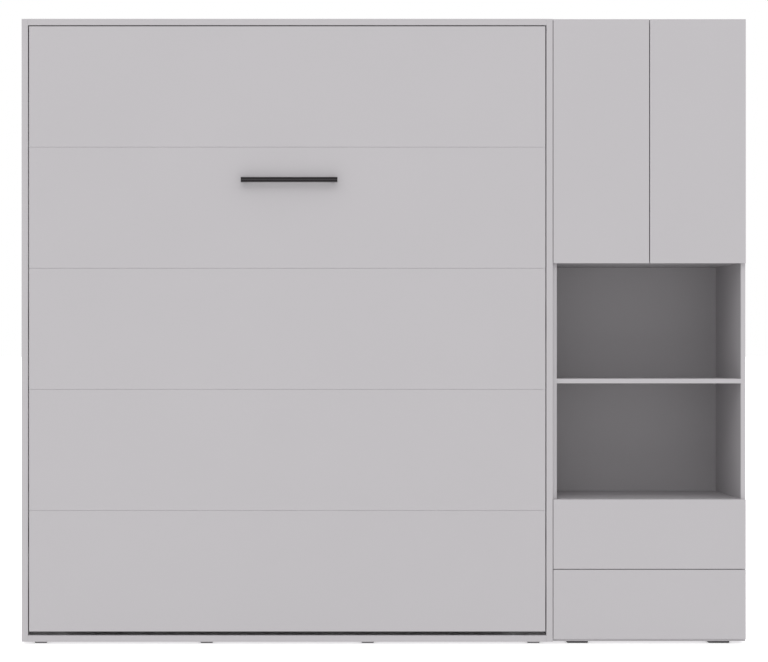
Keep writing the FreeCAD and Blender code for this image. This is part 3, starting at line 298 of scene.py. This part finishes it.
def knitted(name, colour, pitch, depth, quilt=None):
    """Knitted ticking: rows of small loops, with sewn lines where the cover is quilted and painted
    shade in the valleys along them.

    A quilt gives the first line and the step of the lines along x, and the same along z."""
    made = Surface(name, specular=0.2)
    made.shader.inputs["Sheen Weight"].default_value = 0.25
    made.shader.inputs["Sheen Roughness"].default_value = 0.5
    turn = 2 * math.pi / pitch
    rows = made.maths("SINE", made.maths("MULTIPLY", made.axis("Z"), turn))
    half_step = made.maths("MULTIPLY", rows, 0.8)
    sides = []
    for letter in "XY":
        angle = made.maths("ADD", made.maths("MULTIPLY", made.axis(letter), turn), half_step)
        sides.append(made.maths("ABSOLUTE", made.maths("SINE", angle)))
    loops = made.maths("MAXIMUM", *sides)
    cloth = made.maths("MULTIPLY", loops, made.maths("ABSOLUTE", rows))
    fuzz = made.grain(700.0, detail=4.0)
    cloud = made.grain(14.0, detail=3.0)
    base = made.mix(cloud, shade(colour, 0.95), shade(colour, 1.04))
    base = made.mix(made.ramp(cloth, (0.0, 0.35), (0.5, 0.0)), base, shade(colour, 0.72))
    base = made.mix(made.ramp(fuzz, (0.5, 0.0), (0.8, 0.25)), base, shade(colour, 1.1))
    if quilt:
        valley_dip_and_shade, thread = quilt_lines(made, quilt)
        # Painted shade darkens the valleys along the sewn lines; the thread itself is darker.
        base = made.mix(made.maths("MULTIPLY", valley_dip_and_shade, 0.5), base, shade(colour, 0.72))
        base = made.mix(made.maths("MULTIPLY", thread, 0.8), base, shade(colour, 0.6))
        made.bump(valley_dip_and_shade, -0.0016)
    made.colour(base)
    made.roughness(fuzz, 0.8, 0.98)
    made.bump(cloth, depth)
    made.bump(fuzz, depth * 0.4)
    return made.material


def quilt_lines(made, quilt):
    """1 in the valley along each sewn line, which gets a dip and painted shade, and 1 on the thread's
    stitches in it.
    """
    valley_reach, stitch_pitch, half_thread = 0.009, 0.007, 0.0008
    nearest, threads = [], []
    for letter, other, (start, step) in (("X", "Z", quilt[0]), ("Z", "X", quilt[1])):
        offset = made.maths("SUBTRACT", made.axis(letter), start)
        away = made.maths("PINGPONG", offset, step / 2)
        run = made.maths("MULTIPLY", made.axis(other), 2 * math.pi / stitch_pitch)
        stitch = made.maths("SINE", run)
        on_line = made.maths("LESS_THAN", away, half_thread)
        threads.append(made.maths("MULTIPLY", on_line, made.maths("GREATER_THAN", stitch, -0.4)))
        nearest.append(away)
    gap = made.maths("DIVIDE", made.maths("MINIMUM", *nearest), valley_reach)
    valley = made.maths("SUBTRACT", 1.0, made.maths("SMOOTH_MIN", gap, 1.0, 0.3), clamp=True)
    return valley, made.maths("MAXIMUM", *threads)


# The insides of the carcasses, as boxes that reach 0.5 mm into the boards round them and leave out
# the boards' front edges, and the factor of painted shade on the faces in them.
UNIT_INSIDE = ((0.604, -0.1955, 0.0235), (1.248, 0.2355, 2.1645))
BED_INSIDE = ((-1.242, -0.1965, 0.0295), (0.567, 0.2285, 2.1585))
INSIDE_PAINTED_SHADE = 0.76
WARM_GREY = tone(194, 191, 194)
LAMINATE = laminate("laminate", WARM_GREY, (UNIT_INSIDE, BED_INSIDE))
DRAWER_BOARD = laminate("drawer_laminate", tone(222, 220, 217))
STEEL_FRAME = powder_coat("frame_coat", tone(74, 76, 79))
HOOP_COAT = powder_coat("hoop_coat", tone(150, 152, 155), rough=0.42)
STRUT_COAT = powder_coat("strut_coat", tone(30, 31, 33), rough=0.32, peel=600.0)
ZINC = zinc("zinc_plate")
CHROME = polished("rod_chrome", tone(222, 223, 225), 0.1)
SCREW = polished("screw_steel", tone(190, 190, 186), 0.25)
BLACK_PLASTIC = moulded("clip_plastic", tone(38, 38, 40), 0.5)
FOOT_PLASTIC = moulded("foot_plastic", tone(48, 47, 48), 0.6)
LATCH_PLASTIC = moulded("latch_plastic", tone(206, 205, 202), 0.42)
RUBBER = moulded("pad_rubber", tone(34, 34, 35), 0.8, specular=0.25)
JOINT_GREY = moulded("joint_profile", WARM_GREY, 0.7, specular=0.2)
BEECH = beech_ply("slat_beech")
HANDLE = brushed_bar("handle_anodised")

# The mattress's cover: quilted cells along x and z, grid steps in each cell, and how far the rim
# lies inside the solid's sides, for the border's bulge.
CELLS_X, CELLS_Z, STEPS = 12, 15, 6
COVER_INSET = 0.004
bed_low, bed_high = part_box("mattress")
QUILT = [
    (bed_low.x + COVER_INSET, (bed_high.x - bed_low.x - 2 * COVER_INSET) / CELLS_X),
    (bed_low.z + COVER_INSET, (bed_high.z - bed_low.z - 2 * COVER_INSET) / CELLS_Z),
]
TICKING = knitted("mattress_ticking", tone(226, 223, 217), 0.0026, 0.0003, QUILT)
BORDER = knitted("mattress_border", tone(176, 178, 182), 0.0032, 0.0005)
TAPE = knitted("mattress_tape", tone(120, 123, 129), 0.0016, 0.0003)

# The first name that a node starts with gives its finish.
FINISHES = [
    ("bed_slats", BEECH),
    ("bed_", LAMINATE),
    ("back_rail", LAMINATE),
    ("leaf_board", LAMINATE),
    ("unit_", LAMINATE),
    ("cupboard_shelf", LAMINATE),
    ("door_", LAMINATE),
    ("drawer_front", LAMINATE),
    ("drawer_box", DRAWER_BOARD),
    ("drawer_", ZINC),
    ("bar_handle", HANDLE),
    ("frame_", STEEL_FRAME),
    ("pivot_plates", ZINC),
    ("pivot_pins", STEEL_FRAME),
    ("leg_brackets", STEEL_FRAME),
    ("strut_brackets", STEEL_FRAME),
    ("leg_pads", RUBBER),
    ("leg_", HOOP_COAT),
    ("strut_cylinder", STRUT_COAT),
    ("strut_rod", CHROME),
    ("strut_studs", ZINC),
    ("slat_holders", BLACK_PLASTIC),
    ("hinge_", ZINC),
    ("shelf_pins", ZINC),
    ("push_latches", LATCH_PLASTIC),
    ("latch_plunger", LATCH_PLASTIC),
    ("feet", FOOT_PLASTIC),
]
for name, part in frame["nodes"].items():
    for start, finish in FINISHES:
        if name.startswith(start):
            for slot in part.material_slots:
                slot.material = finish
            break


# ---------------------------------------------------------------- mesh helpers


def piece(name, body, points, faces, materials, smooth=True):
    """A mesh piece that rides on a body, with one material or a list of them."""
    mesh = bpy.data.meshes.new(name)
    mesh.from_pydata([tuple(p) for p in points], [], faces)
    for material in materials if isinstance(materials, list) else [materials]:
        mesh.materials.append(material)
    mesh.validate()
    build = bmesh.new()
    build.from_mesh(mesh)
    bmesh.ops.recalc_face_normals(build, faces=build.faces)
    build.to_mesh(mesh)
    build.free()
    if smooth:
        mesh.shade_smooth()
    made = bpy.data.objects.new(name, mesh)
    bpy.context.scene.collection.objects.link(made)
    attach(made, body)
    return made


def swept(points, radii, sides=8, closed=False):
    """The points and faces of a tube along a path, with one radius for each point."""
    count = len(points)
    verts, faces = [], []
    across = None
    for index, point in enumerate(points):
        ahead = points[(index + 1) % count] if closed or index < count - 1 else point
        behind = points[index - 1] if closed or index > 0 else point
        along = (ahead - behind).normalized()
        if across is None:
            across = along.orthogonal().normalized()
        across = (across - along * across.dot(along)).normalized()
        other = along.cross(across)
        for side in range(sides):
            turn = 2 * math.pi * side / sides
            verts.append(point + (across * math.cos(turn) + other * math.sin(turn)) * radii[index])
    for index in range(count if closed else count - 1):
        base, follow = index * sides, (index + 1) % count * sides
        for side in range(sides):
            right = (side + 1) % sides
            faces.append((base + side, base + right, follow + right, follow + side))
    if not closed:
        faces.append(tuple(range(sides - 1, -1, -1)))
        faces.append(tuple((count - 1) * sides + side for side in range(sides)))
    return verts, faces


def turned(profile, place, axis, sides=24):
    """The points and faces of a turned form: (radius, height) pairs about an axis at a place."""
    aim = Vector(axis).normalized().to_track_quat("Z", "Y").to_matrix()
    verts, faces = [], []
    for radius, height in profile:
        for side in range(sides):
            turn = 2 * math.pi * side / sides
            spot = Vector((radius * math.cos(turn), radius * math.sin(turn), height))
            verts.append(Vector(place) + aim @ spot)
    for ring in range(len(profile) - 1):
        for side in range(sides):
            right = (side + 1) % sides
            base, top = ring * sides, (ring + 1) * sides
            faces.append((base + side, base + right, top + right, top + side))
    faces.append(tuple(range(sides - 1, -1, -1)))
    faces.append(tuple((len(profile) - 1) * sides + side for side in range(sides)))
    return verts, faces


def gathered(parts):
    """Joins lists of points and faces into one."""
    verts, faces = [], []
    for more_verts, more_faces in parts:
        base = len(verts)
        verts += more_verts
        faces += [tuple(base + index for index in face) for face in more_faces]
    return verts, faces


def screw_head():
    """A pan head of radius 1 with a cross recess, cut once and copied to every screw."""
    dome = [(1.0, 0.0), (1.0, 0.12), (0.94, 0.3), (0.8, 0.45), (0.55, 0.55), (0.3, 0.6)]
    arm, slit, half_depth, cutter_middle = 0.62, 0.13, 0.32, 0.62
    verts, faces = turned(dome, (0, 0, 0), (0, 0, 1), sides=20)
    mesh = bpy.data.meshes.new("head")
    mesh.from_pydata([tuple(v) for v in verts], [], faces)
    head = bpy.data.objects.new("head", mesh)
    cutter_mesh = bpy.data.meshes.new("cross")
    build = bmesh.new()
    for wide, deep in ((arm, slit), (slit, arm)):
        made = bmesh.ops.create_cube(build, size=2.0)
        bmesh.ops.scale(build, vec=(wide, deep, half_depth), verts=made["verts"])
        bmesh.ops.translate(build, vec=(0, 0, cutter_middle), verts=made["verts"])
    build.to_mesh(cutter_mesh)
    build.free()
    cutter = bpy.data.objects.new("cross", cutter_mesh)
    for item in (head, cutter):
        bpy.context.scene.collection.objects.link(item)
    cut = head.modifiers.new("cut", "BOOLEAN")
    cut.operation = "DIFFERENCE"
    cut.object = cutter
    cut.use_self = True
    depsgraph = bpy.context.evaluated_depsgraph_get()
    shaped = bpy.data.meshes.new_from_object(head.evaluated_get(depsgraph))
    points = [v.co.copy() for v in shaped.vertices]
    outline = [tuple(p.vertices) for p in shaped.polygons]
    for item in (head, cutter):
        bpy.data.objects.remove(item)
    return points, outline


HEAD = screw_head()


def screws(name, body, places, radius):
    """Screw heads at (point, outward direction) pairs, each turned on from the one before."""
    turn_on, sharp_from = 0.7, math.radians(35)
    parts = []
    for index, (spot, outward) in enumerate(places):
        aim = Vector(outward).normalized().to_track_quat("Z", "Y").to_matrix()
        spin = Matrix.Rotation(turn_on * index, 3, "Z")
        points = [Vector(spot) + aim @ (spin @ (p * radius)) for p in HEAD[0]]
        parts.append((points, HEAD[1]))
    made = piece(name, body, *gathered(parts), SCREW)
    made.data.shade_smooth()
    made.data.set_sharp_from_angle(angle=sharp_from)
    return made


def flip(point, middle=MID):
    """The mirror image of a point on the other side of a middle."""
    return Vector((2 * middle - point[0], point[1], point[2]))


def both(places, middle=MID):
    """Adds the mirror image of each (point, direction) pair."""
    images = [(flip(spot, middle), (-out[0], out[1], out[2])) for spot, out in places]
    return [(Vector(spot), out) for spot, out in places] + images


# ---------------------------------------------------------------- mattress


def quilted_panel(half_x, half_z, corner=0.05):
    """A rounded rectangle's grid points, row by row, and whether each lies on a stitch line."""
    rows, stitched = [], []
    for k in range(CELLS_Z * STEPS + 1):
        for i in range(CELLS_X * STEPS + 1):
            x = half_x * (2 * i / (CELLS_X * STEPS) - 1)
            z = half_z * (2 * k / (CELLS_Z * STEPS) - 1)
            u = (abs(x) - (half_x - corner)) / corner
            v = (abs(z) - (half_z - corner)) / corner
            if u > 0 and v > 0:
                x = math.copysign(half_x - corner + corner * u * math.sqrt(1 - v * v / 2), x)
                z = math.copysign(half_z - corner + corner * v * math.sqrt(1 - u * u / 2), z)
            rows.append(Vector((x, 0, z)))
            stitched.append(i % STEPS == 0 or k % STEPS == 0)
    return rows, stitched


def panel_faces():
    """The grid's four-sided faces, row by row."""
    wide = CELLS_X * STEPS + 1
    faces = []
    for k in range(CELLS_Z * STEPS):
        for i in range(CELLS_X * STEPS):
            base = k * wide + i
            faces.append((base, base + 1, base + wide + 1, base + wide))
    return faces


def inflate(points, faces, stitched, cap, frames=20):
    """Blows the cover up between its stitch lines with a cloth simulation.

    Returns the points, none of them moved by more than the cap."""
    mesh = bpy.data.meshes.new("cover")
    mesh.from_pydata([tuple(p) for p in points], [], faces)
    cover = bpy.data.objects.new("cover", mesh)
    bpy.context.scene.collection.objects.link(cover)
    held = cover.vertex_groups.new(name="held")
    held.add([index for index, stitch in enumerate(stitched) if stitch], 1.0, "REPLACE")
    cloth = cover.modifiers.new("cloth", "CLOTH")
    settings = cloth.settings
    settings.quality = 5
    settings.mass = 0.3
    settings.tension_stiffness = 8
    settings.compression_stiffness = 8
    settings.shear_stiffness = 4
    settings.bending_stiffness = 0.4
    settings.vertex_group_mass = "held"
    settings.shrink_min = -0.035
    settings.use_pressure = True
    settings.uniform_pressure_force = 4
    settings.effector_weights.gravity = 0
    cloth.collision_settings.use_collision = False
    scene = bpy.context.scene
    for step in range(1, frames + 1):
        scene.frame_set(step)
    shaped = cover.evaluated_get(bpy.context.evaluated_depsgraph_get())
    result = []
    for start, vertex in zip(points, shaped.data.vertices):
        move = vertex.co - start
        if move.length > cap:
            move *= cap / move.length
        result.append(start + move)
    bpy.data.objects.remove(cover)
    scene.frame_set(1)
    return result


def mattress():
    """A quilted mattress: pillowed faces, a banded border, taped edges and lifting straps."""
    low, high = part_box("mattress")
    half_x = (high.x - low.x) / 2 - COVER_INSET
    half_z = (high.z - low.z) / 2 - COVER_INSET
    middle = Vector(((low.x + high.x) / 2, 0, (low.z + high.z) / 2))
    flat, stitched = quilted_panel(half_x, half_z)
    faces = panel_faces()
    wide = CELLS_X * STEPS + 1
    tall = CELLS_Z * STEPS + 1
    lift, under_lift, under_room, clearance = 0.0085, 0.0035, 0.004, 0.0003
    rounding, reach = 0.015, 0.022

    def rim_drop(p):
        """How far the cover rounds off at a point near its rim."""
        inset = min(half_x - abs(p.x), half_z - abs(p.z))
        return rounding * math.exp(-max(inset, 0) / reach)

    def pillow(index, height):
        """How far the cover stands up at a grid point within its cell."""
        u, v = (index % wide) / STEPS % 1, (index // wide) / STEPS % 1
        return height * (math.sin(math.pi * u) * math.sin(math.pi * v)) ** 0.5

    top = [p + middle + Vector((0, high.y - lift - rim_drop(p), 0)) for p in flat]
    under = [p + middle + Vector((0, low.y + under_room + rim_drop(p), 0)) for p in flat]
    under = [p - Vector((0, pillow(index, under_lift), 0)) for index, p in enumerate(under)]
    # The cover faces the wall, so its normals point along +Y.
    top_faces = [tuple(reversed(face)) for face in faces]
    top = inflate(top, top_faces, stitched, lift)
    top = [Vector((p.x, min(p.y, high.y - clearance), p.z)) for p in top]

    # The rim's grid points in one round, and the border's rings: (share of the height, bulge).
    rim = list(range(wide))
    rim += [k * wide + wide - 1 for k in range(1, tall)]
    rim += [(tall - 1) * wide + i for i in range(wide - 2, -1, -1)]
    rim += [k * wide for k in range(tall - 2, 0, -1)]
    points = top + under
    count = len(top)
    surfaces = [(*face, 0) for face in top_faces]
    surfaces += [(*(index + count for index in face), 0) for face in faces]
    half_band = [(0.03, 0.0012), (0.09, 0.0028), (0.22, 0.0036)]
    half_band += [(0.31, 0.0026), (0.333, 0.0004), (0.356, 0.0026)]
    band = half_band + [(0.5, 0.0036)] + [(1 - t, out) for t, out in reversed(half_band)]
    ripple, ripples, bands = 0.0005, 9, 6
    rings = [[index + count for index in rim]]
    for t, out in band:
        ring = []
        for order, index in enumerate(rim):
            start, end = under[index], top[index]
            before, after = flat[rim[order - 1]], flat[rim[(order + 1) % len(rim)]]
            along = (after - before).normalized()
            outward = Vector((along.z, 0, -along.x))
            wave = ripple * noise.noise(Vector((start.x * ripples, t * bands, start.z * ripples)))
            ring.append(len(points))
            points.append(start.lerp(end, t) + outward * (out + wave))
        rings.append(ring)
    rings.append(list(rim))
    for lower, upper in zip(rings, rings[1:]):
        for order in range(len(rim)):
            after = (order + 1) % len(rim)
            surfaces.append((lower[order], lower[after], upper[after], upper[order], 1))
    outlines = [face[:4] for face in surfaces]
    body = piece("mattress_body", "leaf", points, outlines, [TICKING, BORDER])
    for polygon, face in zip(body.data.polygons, surfaces):
        polygon.material_index = face[4]
    seam_crease = 0.55
    crease = body.data.attributes.new("crease_edge", "FLOAT", "EDGE")
    for edge in body.data.edges:
        ends = edge.vertices
        if all(end < count and stitched[end] for end in ends):
            crease.data[edge.index].value = seam_crease
    smooth = body.modifiers.new("smooth", "SUBSURF")
    smooth.levels = 1
    smooth.render_levels = 1
    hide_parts("mattress")

    tape_radius = 0.0052
    tapes = []
    for level in (top, under):
        path = [level[index] for index in rim]
        tapes.append(swept(path, [tape_radius] * len(path), closed=True))
    tape = piece("mattress_tape", "leaf", *gathered(tapes), TAPE)

    straps = []
    strap_place = 0.45
    mid_y = (low.y + high.y) / 2
    for sign in (-1, 1):
        for z in (-strap_place, strap_place):
            straps.append(strap(middle.x + sign * half_x, mid_y, middle.z + z, sign))
    made = piece("mattress_straps", "leaf", *gathered(straps), TAPE)


def strap(x, y, z, sign):
    """A lifting strap: a flat band that stands off the border between its two sewn ends."""
    length, wide, thick = 0.2, 0.028, 0.0016
    sewn, arch, border_bulge = 0.15, 0.0045, 0.003
    points, faces = [], []
    steps = 24
    for step in range(steps + 1):
        t = step / steps
        rise = arch * math.sin(math.pi * min(max((t - sewn) / (1 - 2 * sewn), 0), 1)) ** 2
        for out, across in ((0, -1), (thick, -1), (thick, 1), (0, 1)):
            away = x + sign * (border_bulge + rise + out)
            points.append(Vector((away, y + across * wide / 2, z + (t - 0.5) * length)))
    for step in range(steps):
        base = step * 4
        for side in range(4):
            right = (side + 1) % 4
            faces.append((base + side, base + right, base + 4 + right, base + 4 + side))
    faces.append((3, 2, 1, 0))
    faces.append(tuple(steps * 4 + side for side in range(4)))
    return points, faces


mattress()


# ---------------------------------------------------------------- welds, plugs and fasteners


def weld(points, radius=0.0028):
    """A rippled weld bead along a line of points."""
    step_length, ripple_pitch, ripple, lumps = 0.0015, 0.0045, 0.16, 0.08
    path = []
    for start, end in zip(points, points[1:]):
        count = max(2, int((end - start).length / step_length))
        path += [start.lerp(end, step / count) for step in range(count)]
    path.append(points[-1])
    radii = []
    run = 0.0
    for index, spot in enumerate(path):
        if index:
            run += (spot - path[index - 1]).length
        swell = ripple * abs(math.sin(run * math.pi / ripple_pitch))
        radii.append(radius * (1 + swell + lumps * noise.noise(spot * 150)))
    return swept(path, radii)


def frame_welds():
    """Beads where the cross tubes meet the rails, and along the plates outside the rails."""
    tube, start_back = 0.04, 0.023
    plate_from, plate_to, plate_half = 0.03, 0.086, 0.045
    beads = []
    for name in CROSS_TUBES:
        low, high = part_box(name)
        top = low.z + tube
        near, far = FRONT + start_back, FRONT + TUBES_BACK
        for x in (low.x, high.x):
            corner = [(near, low.z), (far, low.z), (far, top), (near, top)]
            beads.append(weld([Vector((x, y, z)) for y, z in corner]))
    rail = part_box("frame_rail_right")
    for z in (PIVOT_UP - plate_half, PIVOT_UP + plate_half):
        line = [Vector((rail[1].x, FRONT + y, z)) for y in (plate_from, plate_to)]
        beads.append(weld(line))
        beads.append(weld([flip(p) for p in line]))
    piece("frame_weld_beads", "leaf", *gathered(beads), STEEL_FRAME)


def tube_plugs():
    """Plastic plugs in the open ends of the rails."""
    parts = []
    for name in ("frame_rail_left", "frame_rail_right"):
        low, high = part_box(name)
        for z, up in ((low.z, -1), (high.z, 1)):
            parts.append(plug(low, high, z, up))
    piece("rail_plugs", "leaf", *gathered(parts), BLACK_PLASTIC, smooth=False)


def plug(low, high, z, up):
    """A rectangular plug: its flange covers the tube's wall and its face is slightly domed."""
    rings = [(0.0, 0.0), (0.0, 0.0016), (0.0012, 0.0026), (0.004, 0.003)]
    points, faces = [], []
    for inset, rise in rings:
        x0, x1, y0, y1 = low.x + inset, high.x - inset, low.y + inset, high.y - inset
        for x, y in ((x0, y0), (x1, y0), (x1, y1), (x0, y1)):
            points.append(Vector((x, y, z + up * rise)))
    for ring in range(len(rings) - 1):
        for side in range(4):
            right = (side + 1) % 4
            base = ring * 4
            faces.append((base + side, base + right, base + 4 + right, base + 4 + side))
    faces.append((3, 2, 1, 0))
    last = (len(rings) - 1) * 4
    faces.append((last, last + 1, last + 2, last + 3))
    return points, faces


def joint_profiles():
    """Grey T-shaped profiles that close the joints between the leaf's boards from behind.

    The flange lies on the boards' backs beside the rails, and the lip almost fills the joint."""
    end, lip_depth, lip_half = 0.001, 0.0168, 0.0005
    flange = [(0.0, -0.012), (0.0005, -0.012), (0.0012, -0.01)]
    flange += [(out, -rise) for out, rise in reversed(flange)]
    lip = [(0.0, -lip_half), (0.0, lip_half), (-lip_depth, lip_half), (-lip_depth, -lip_half)]
    parts = []
    rail_left, rail_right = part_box("frame_rail_left"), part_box("frame_rail_right")
    leaf_low, leaf_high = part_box("leaf_board_1")
    runs = [
        (leaf_low.x + end, rail_left[0].x),
        (rail_left[1].x, rail_right[0].x),
        (rail_right[1].x, leaf_high.x - end),
    ]
    for number in (1, 2, 3, 4):
        joint = (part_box(f"leaf_board_{number}")[1].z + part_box(f"leaf_board_{number + 1}")[0].z) / 2
        for start, stop in runs:
            parts.append(extruded(flange, leaf_high.y, joint, start, stop))
        parts.append(extruded(lip, leaf_high.y, joint, leaf_low.x + end, leaf_high.x - end))
    piece("joint_profiles", "leaf", *gathered(parts), JOINT_GREY, smooth=False)


def extruded(section, y, z, start, end):
    """A closed section of (y, z) offsets run along x."""
    points = [Vector((x, y + out, z + rise)) for x in (start, end) for out, rise in section]
    count = len(section)
    faces = [tuple(range(count - 1, -1, -1)), tuple(range(count, 2 * count))]
    for side in range(count):
        right = (side + 1) % count
        faces.append((side, right, count + right, count + side))
    return points, faces


frame_welds()
tube_plugs()
joint_profiles()


def plate_screws():
    """Screws through the bearing plates and strut plates into the cabinet's sides."""
    plate = 0.003
    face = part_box("bed_side_right")[0].x - plate
    round_pivot = [(y, z) for y in (-0.042, 0.062) for z in (-0.048, 0.048)]
    round_stud = [(y, z) for y in (-0.02, 0.02) for z in (-0.02, 0.02)]
    spots = [(FRONT + PIVOT_BACK + y, PIVOT_UP + z) for y, z in round_pivot]
    spots += [(FRONT + STUD_BACK + y, STUD_UP + z) for y, z in round_stud]
    spots = [((face, y, z), (-1, 0, 0)) for y, z in spots]
    screws("plate_screws", "cabinet", both(spots), 0.0045)


def leaf_screws():
    """Screws through the middle and foot cross tubes into the leaf's boards."""
    count, half_tube = 6, 0.02
    spots = []
    for name in CROSS_TUBES[1:]:
        low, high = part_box(name)
        for step in range(count):
            x = low.x + (high.x - low.x) * (step + 0.5) / count
            spots.append(((x, FRONT + TUBES_BACK, low.z + half_tube), (0, 1, 0)))
    screws("leaf_screws", "leaf", spots, 0.0042)


def hinge_screws():
    """Screws in the hinges' cups and plates, and in the latches."""
    hinge_inset, cup_inset, cup_back, cup_spread = 0.1, 0.0215, 0.017, 0.0245
    plate, plate_back, plate_spread = 0.002, 0.058, 0.015
    fixed, left, right = [], [], []
    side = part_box("unit_side_left")[1].x
    door_low, door_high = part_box("door_left")
    for z in (door_low.z + hinge_inset, door_high.z - hinge_inset):
        for rise in (-cup_spread, cup_spread):
            spot = Vector((door_low.x + cup_inset, FRONT + cup_back, z + rise))
            left.append((spot, (0, 1, 0)))
            right.append((flip(spot, UNIT_MID), (0, 1, 0)))
        for rise in (-plate_spread, plate_spread):
            fixed.append(((side + plate, FRONT + plate_back, z + rise), (1, 0, 0)))
    screws("cup_screws_left", "door_left", left, 0.0035)
    screws("cup_screws_right", "door_right", right, 0.0035)
    screws("hinge_plate_screws", "cabinet", both(fixed, UNIT_MID), 0.0038)
    half_latch, from_end = 0.006, 0.01
    latch_low, latch_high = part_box("push_latches")
    latch = [((latch_low.x + half_latch, latch_high.y - from_end, latch_low.z), (0, 0, -1))]
    screws("latch_screws", "cabinet", both(latch, UNIT_MID), 0.003)


plate_screws()
leaf_screws()
hinge_screws()


# ---------------------------------------------------------------- floor, light and camera


def seen_white(tree):
    """1 for rays from the camera, off gloss and through glass, and 0 for rays that light things."""
    path = tree.nodes.new("ShaderNodeLightPath")
    total = path.outputs["Is Camera Ray"]
    for name in ("Is Glossy Ray", "Is Transmission Ray"):
        larger = tree.nodes.new("ShaderNodeMath")
        larger.operation = "MAXIMUM"
        tree.links.new(total, larger.inputs[0])
        tree.links.new(path.outputs[name], larger.inputs[1])
        total = larger.outputs[0]
    return total


def world():
    """Soft light from all round, weaker from straight ahead, and plain white where it is seen."""
    made = bpy.data.worlds.new("studio")
    bpy.context.scene.world = made
    made.use_nodes = True
    tree = made.node_tree
    tree.nodes.clear()
    place = tree.nodes.new("ShaderNodeTexCoord")
    split = tree.nodes.new("ShaderNodeSeparateXYZ")
    tree.links.new(place.outputs["Generated"], split.inputs[0])
    ahead = tree.nodes.new("ShaderNodeMapRange")
    ahead.interpolation_type = "SMOOTHSTEP"
    tree.links.new(split.outputs["Y"], ahead.inputs["Value"])
    # The change to the light from ahead starts and ends at these shares of a direction along Y.
    ahead.inputs["From Min"].default_value = -0.55
    ahead.inputs["From Max"].default_value = -0.9
    ahead.inputs["To Min"].default_value = AMBIENT
    ahead.inputs["To Max"].default_value = AHEAD
    strength = tree.nodes.new("ShaderNodeMix")
    tree.links.new(seen_white(tree), strength.inputs[0])
    tree.links.new(ahead.outputs[0], strength.inputs[2])
    strength.inputs[3].default_value = 1.0
    background = tree.nodes.new("ShaderNodeBackground")
    background.inputs["Color"].default_value = (1, 1, 1, 1)
    tree.links.new(strength.outputs[0], background.inputs["Strength"])
    out = tree.nodes.new("ShaderNodeOutputWorld")
    tree.links.new(background.outputs[0], out.inputs["Surface"])


def floor():
    """A pale floor that looks white where nothing shades it and keeps the object's shadow."""
    mesh = bpy.data.meshes.new("floor")
    size = 300
    corners = [(-size, -size, 0), (size, -size, 0), (size, size, 0), (-size, size, 0)]
    mesh.from_pydata(corners, [], [(0, 1, 2, 3)])
    made = bpy.data.objects.new("floor", mesh)
    bpy.context.scene.collection.objects.link(made)
    material = bpy.data.materials.new("floor_paper")
    material.use_nodes = True
    tree = material.node_tree
    tree.nodes.clear()
    shaders = []
    # The first paper is what light rays meet, and the second is what the camera and gloss see.
    for level, strength in ((0.2, FLOOR_LIGHT), (0.95, FLOOR_GLOW)):
        paper = tree.nodes.new("ShaderNodeBsdfDiffuse")
        paper.inputs["Color"].default_value = (level, level, level, 1)
        glow = tree.nodes.new("ShaderNodeEmission")
        glow.inputs["Strength"].default_value = strength
        total = tree.nodes.new("ShaderNodeAddShader")
        tree.links.new(paper.outputs[0], total.inputs[0])
        tree.links.new(glow.outputs[0], total.inputs[1])
        shaders.append(total.outputs[0])
    mix = tree.nodes.new("ShaderNodeMixShader")
    tree.links.new(seen_white(tree), mix.inputs[0])
    tree.links.new(shaders[0], mix.inputs[1])
    tree.links.new(shaders[1], mix.inputs[2])
    out = tree.nodes.new("ShaderNodeOutputMaterial")
    tree.links.new(mix.outputs[0], out.inputs["Surface"])
    mesh.materials.append(material)


def softbox(name, place, aim, wide, high, power):
    """A rectangular lamp at a place, aimed at a point."""
    light = bpy.data.lights.new(name, "AREA")
    light.shape = "RECTANGLE"
    light.size = wide
    light.size_y = high
    light.energy = power
    made = bpy.data.objects.new(name, light)
    made.location = place
    made.rotation_euler = (Vector(aim) - Vector(place)).to_track_quat("-Z", "Y").to_euler()
    bpy.context.scene.collection.objects.link(made)


# The light from all round and from straight ahead, and the floor's own light for rays that light
# things and for rays that see it.
AMBIENT, AHEAD = 1.15, 0.62
FLOOR_LIGHT, FLOOR_GLOW = 0.7, 0.4

world()
floor()
softbox("key", (-1.6, -13.0, 12.0), (0.0, -0.2, 1.0), 7.0, 5.0, 260)

# The photograph's view: level and square to the front, 7.4 m before it.
camera = bpy.data.objects.new("camera", bpy.data.cameras.new("camera"))
bpy.context.scene.collection.objects.link(camera)
camera.location = (-0.3382, -7.614, 1.0255)
camera.rotation_euler = (math.radians(90), 0, 0)
camera.data.sensor_width = 36
camera.data.lens = 99.5
camera.data.shift_x = 0.1263
camera.data.shift_y = 0.0247
bpy.context.scene.camera = camera
bpy.context.scene.view_settings.view_transform = "Standard"
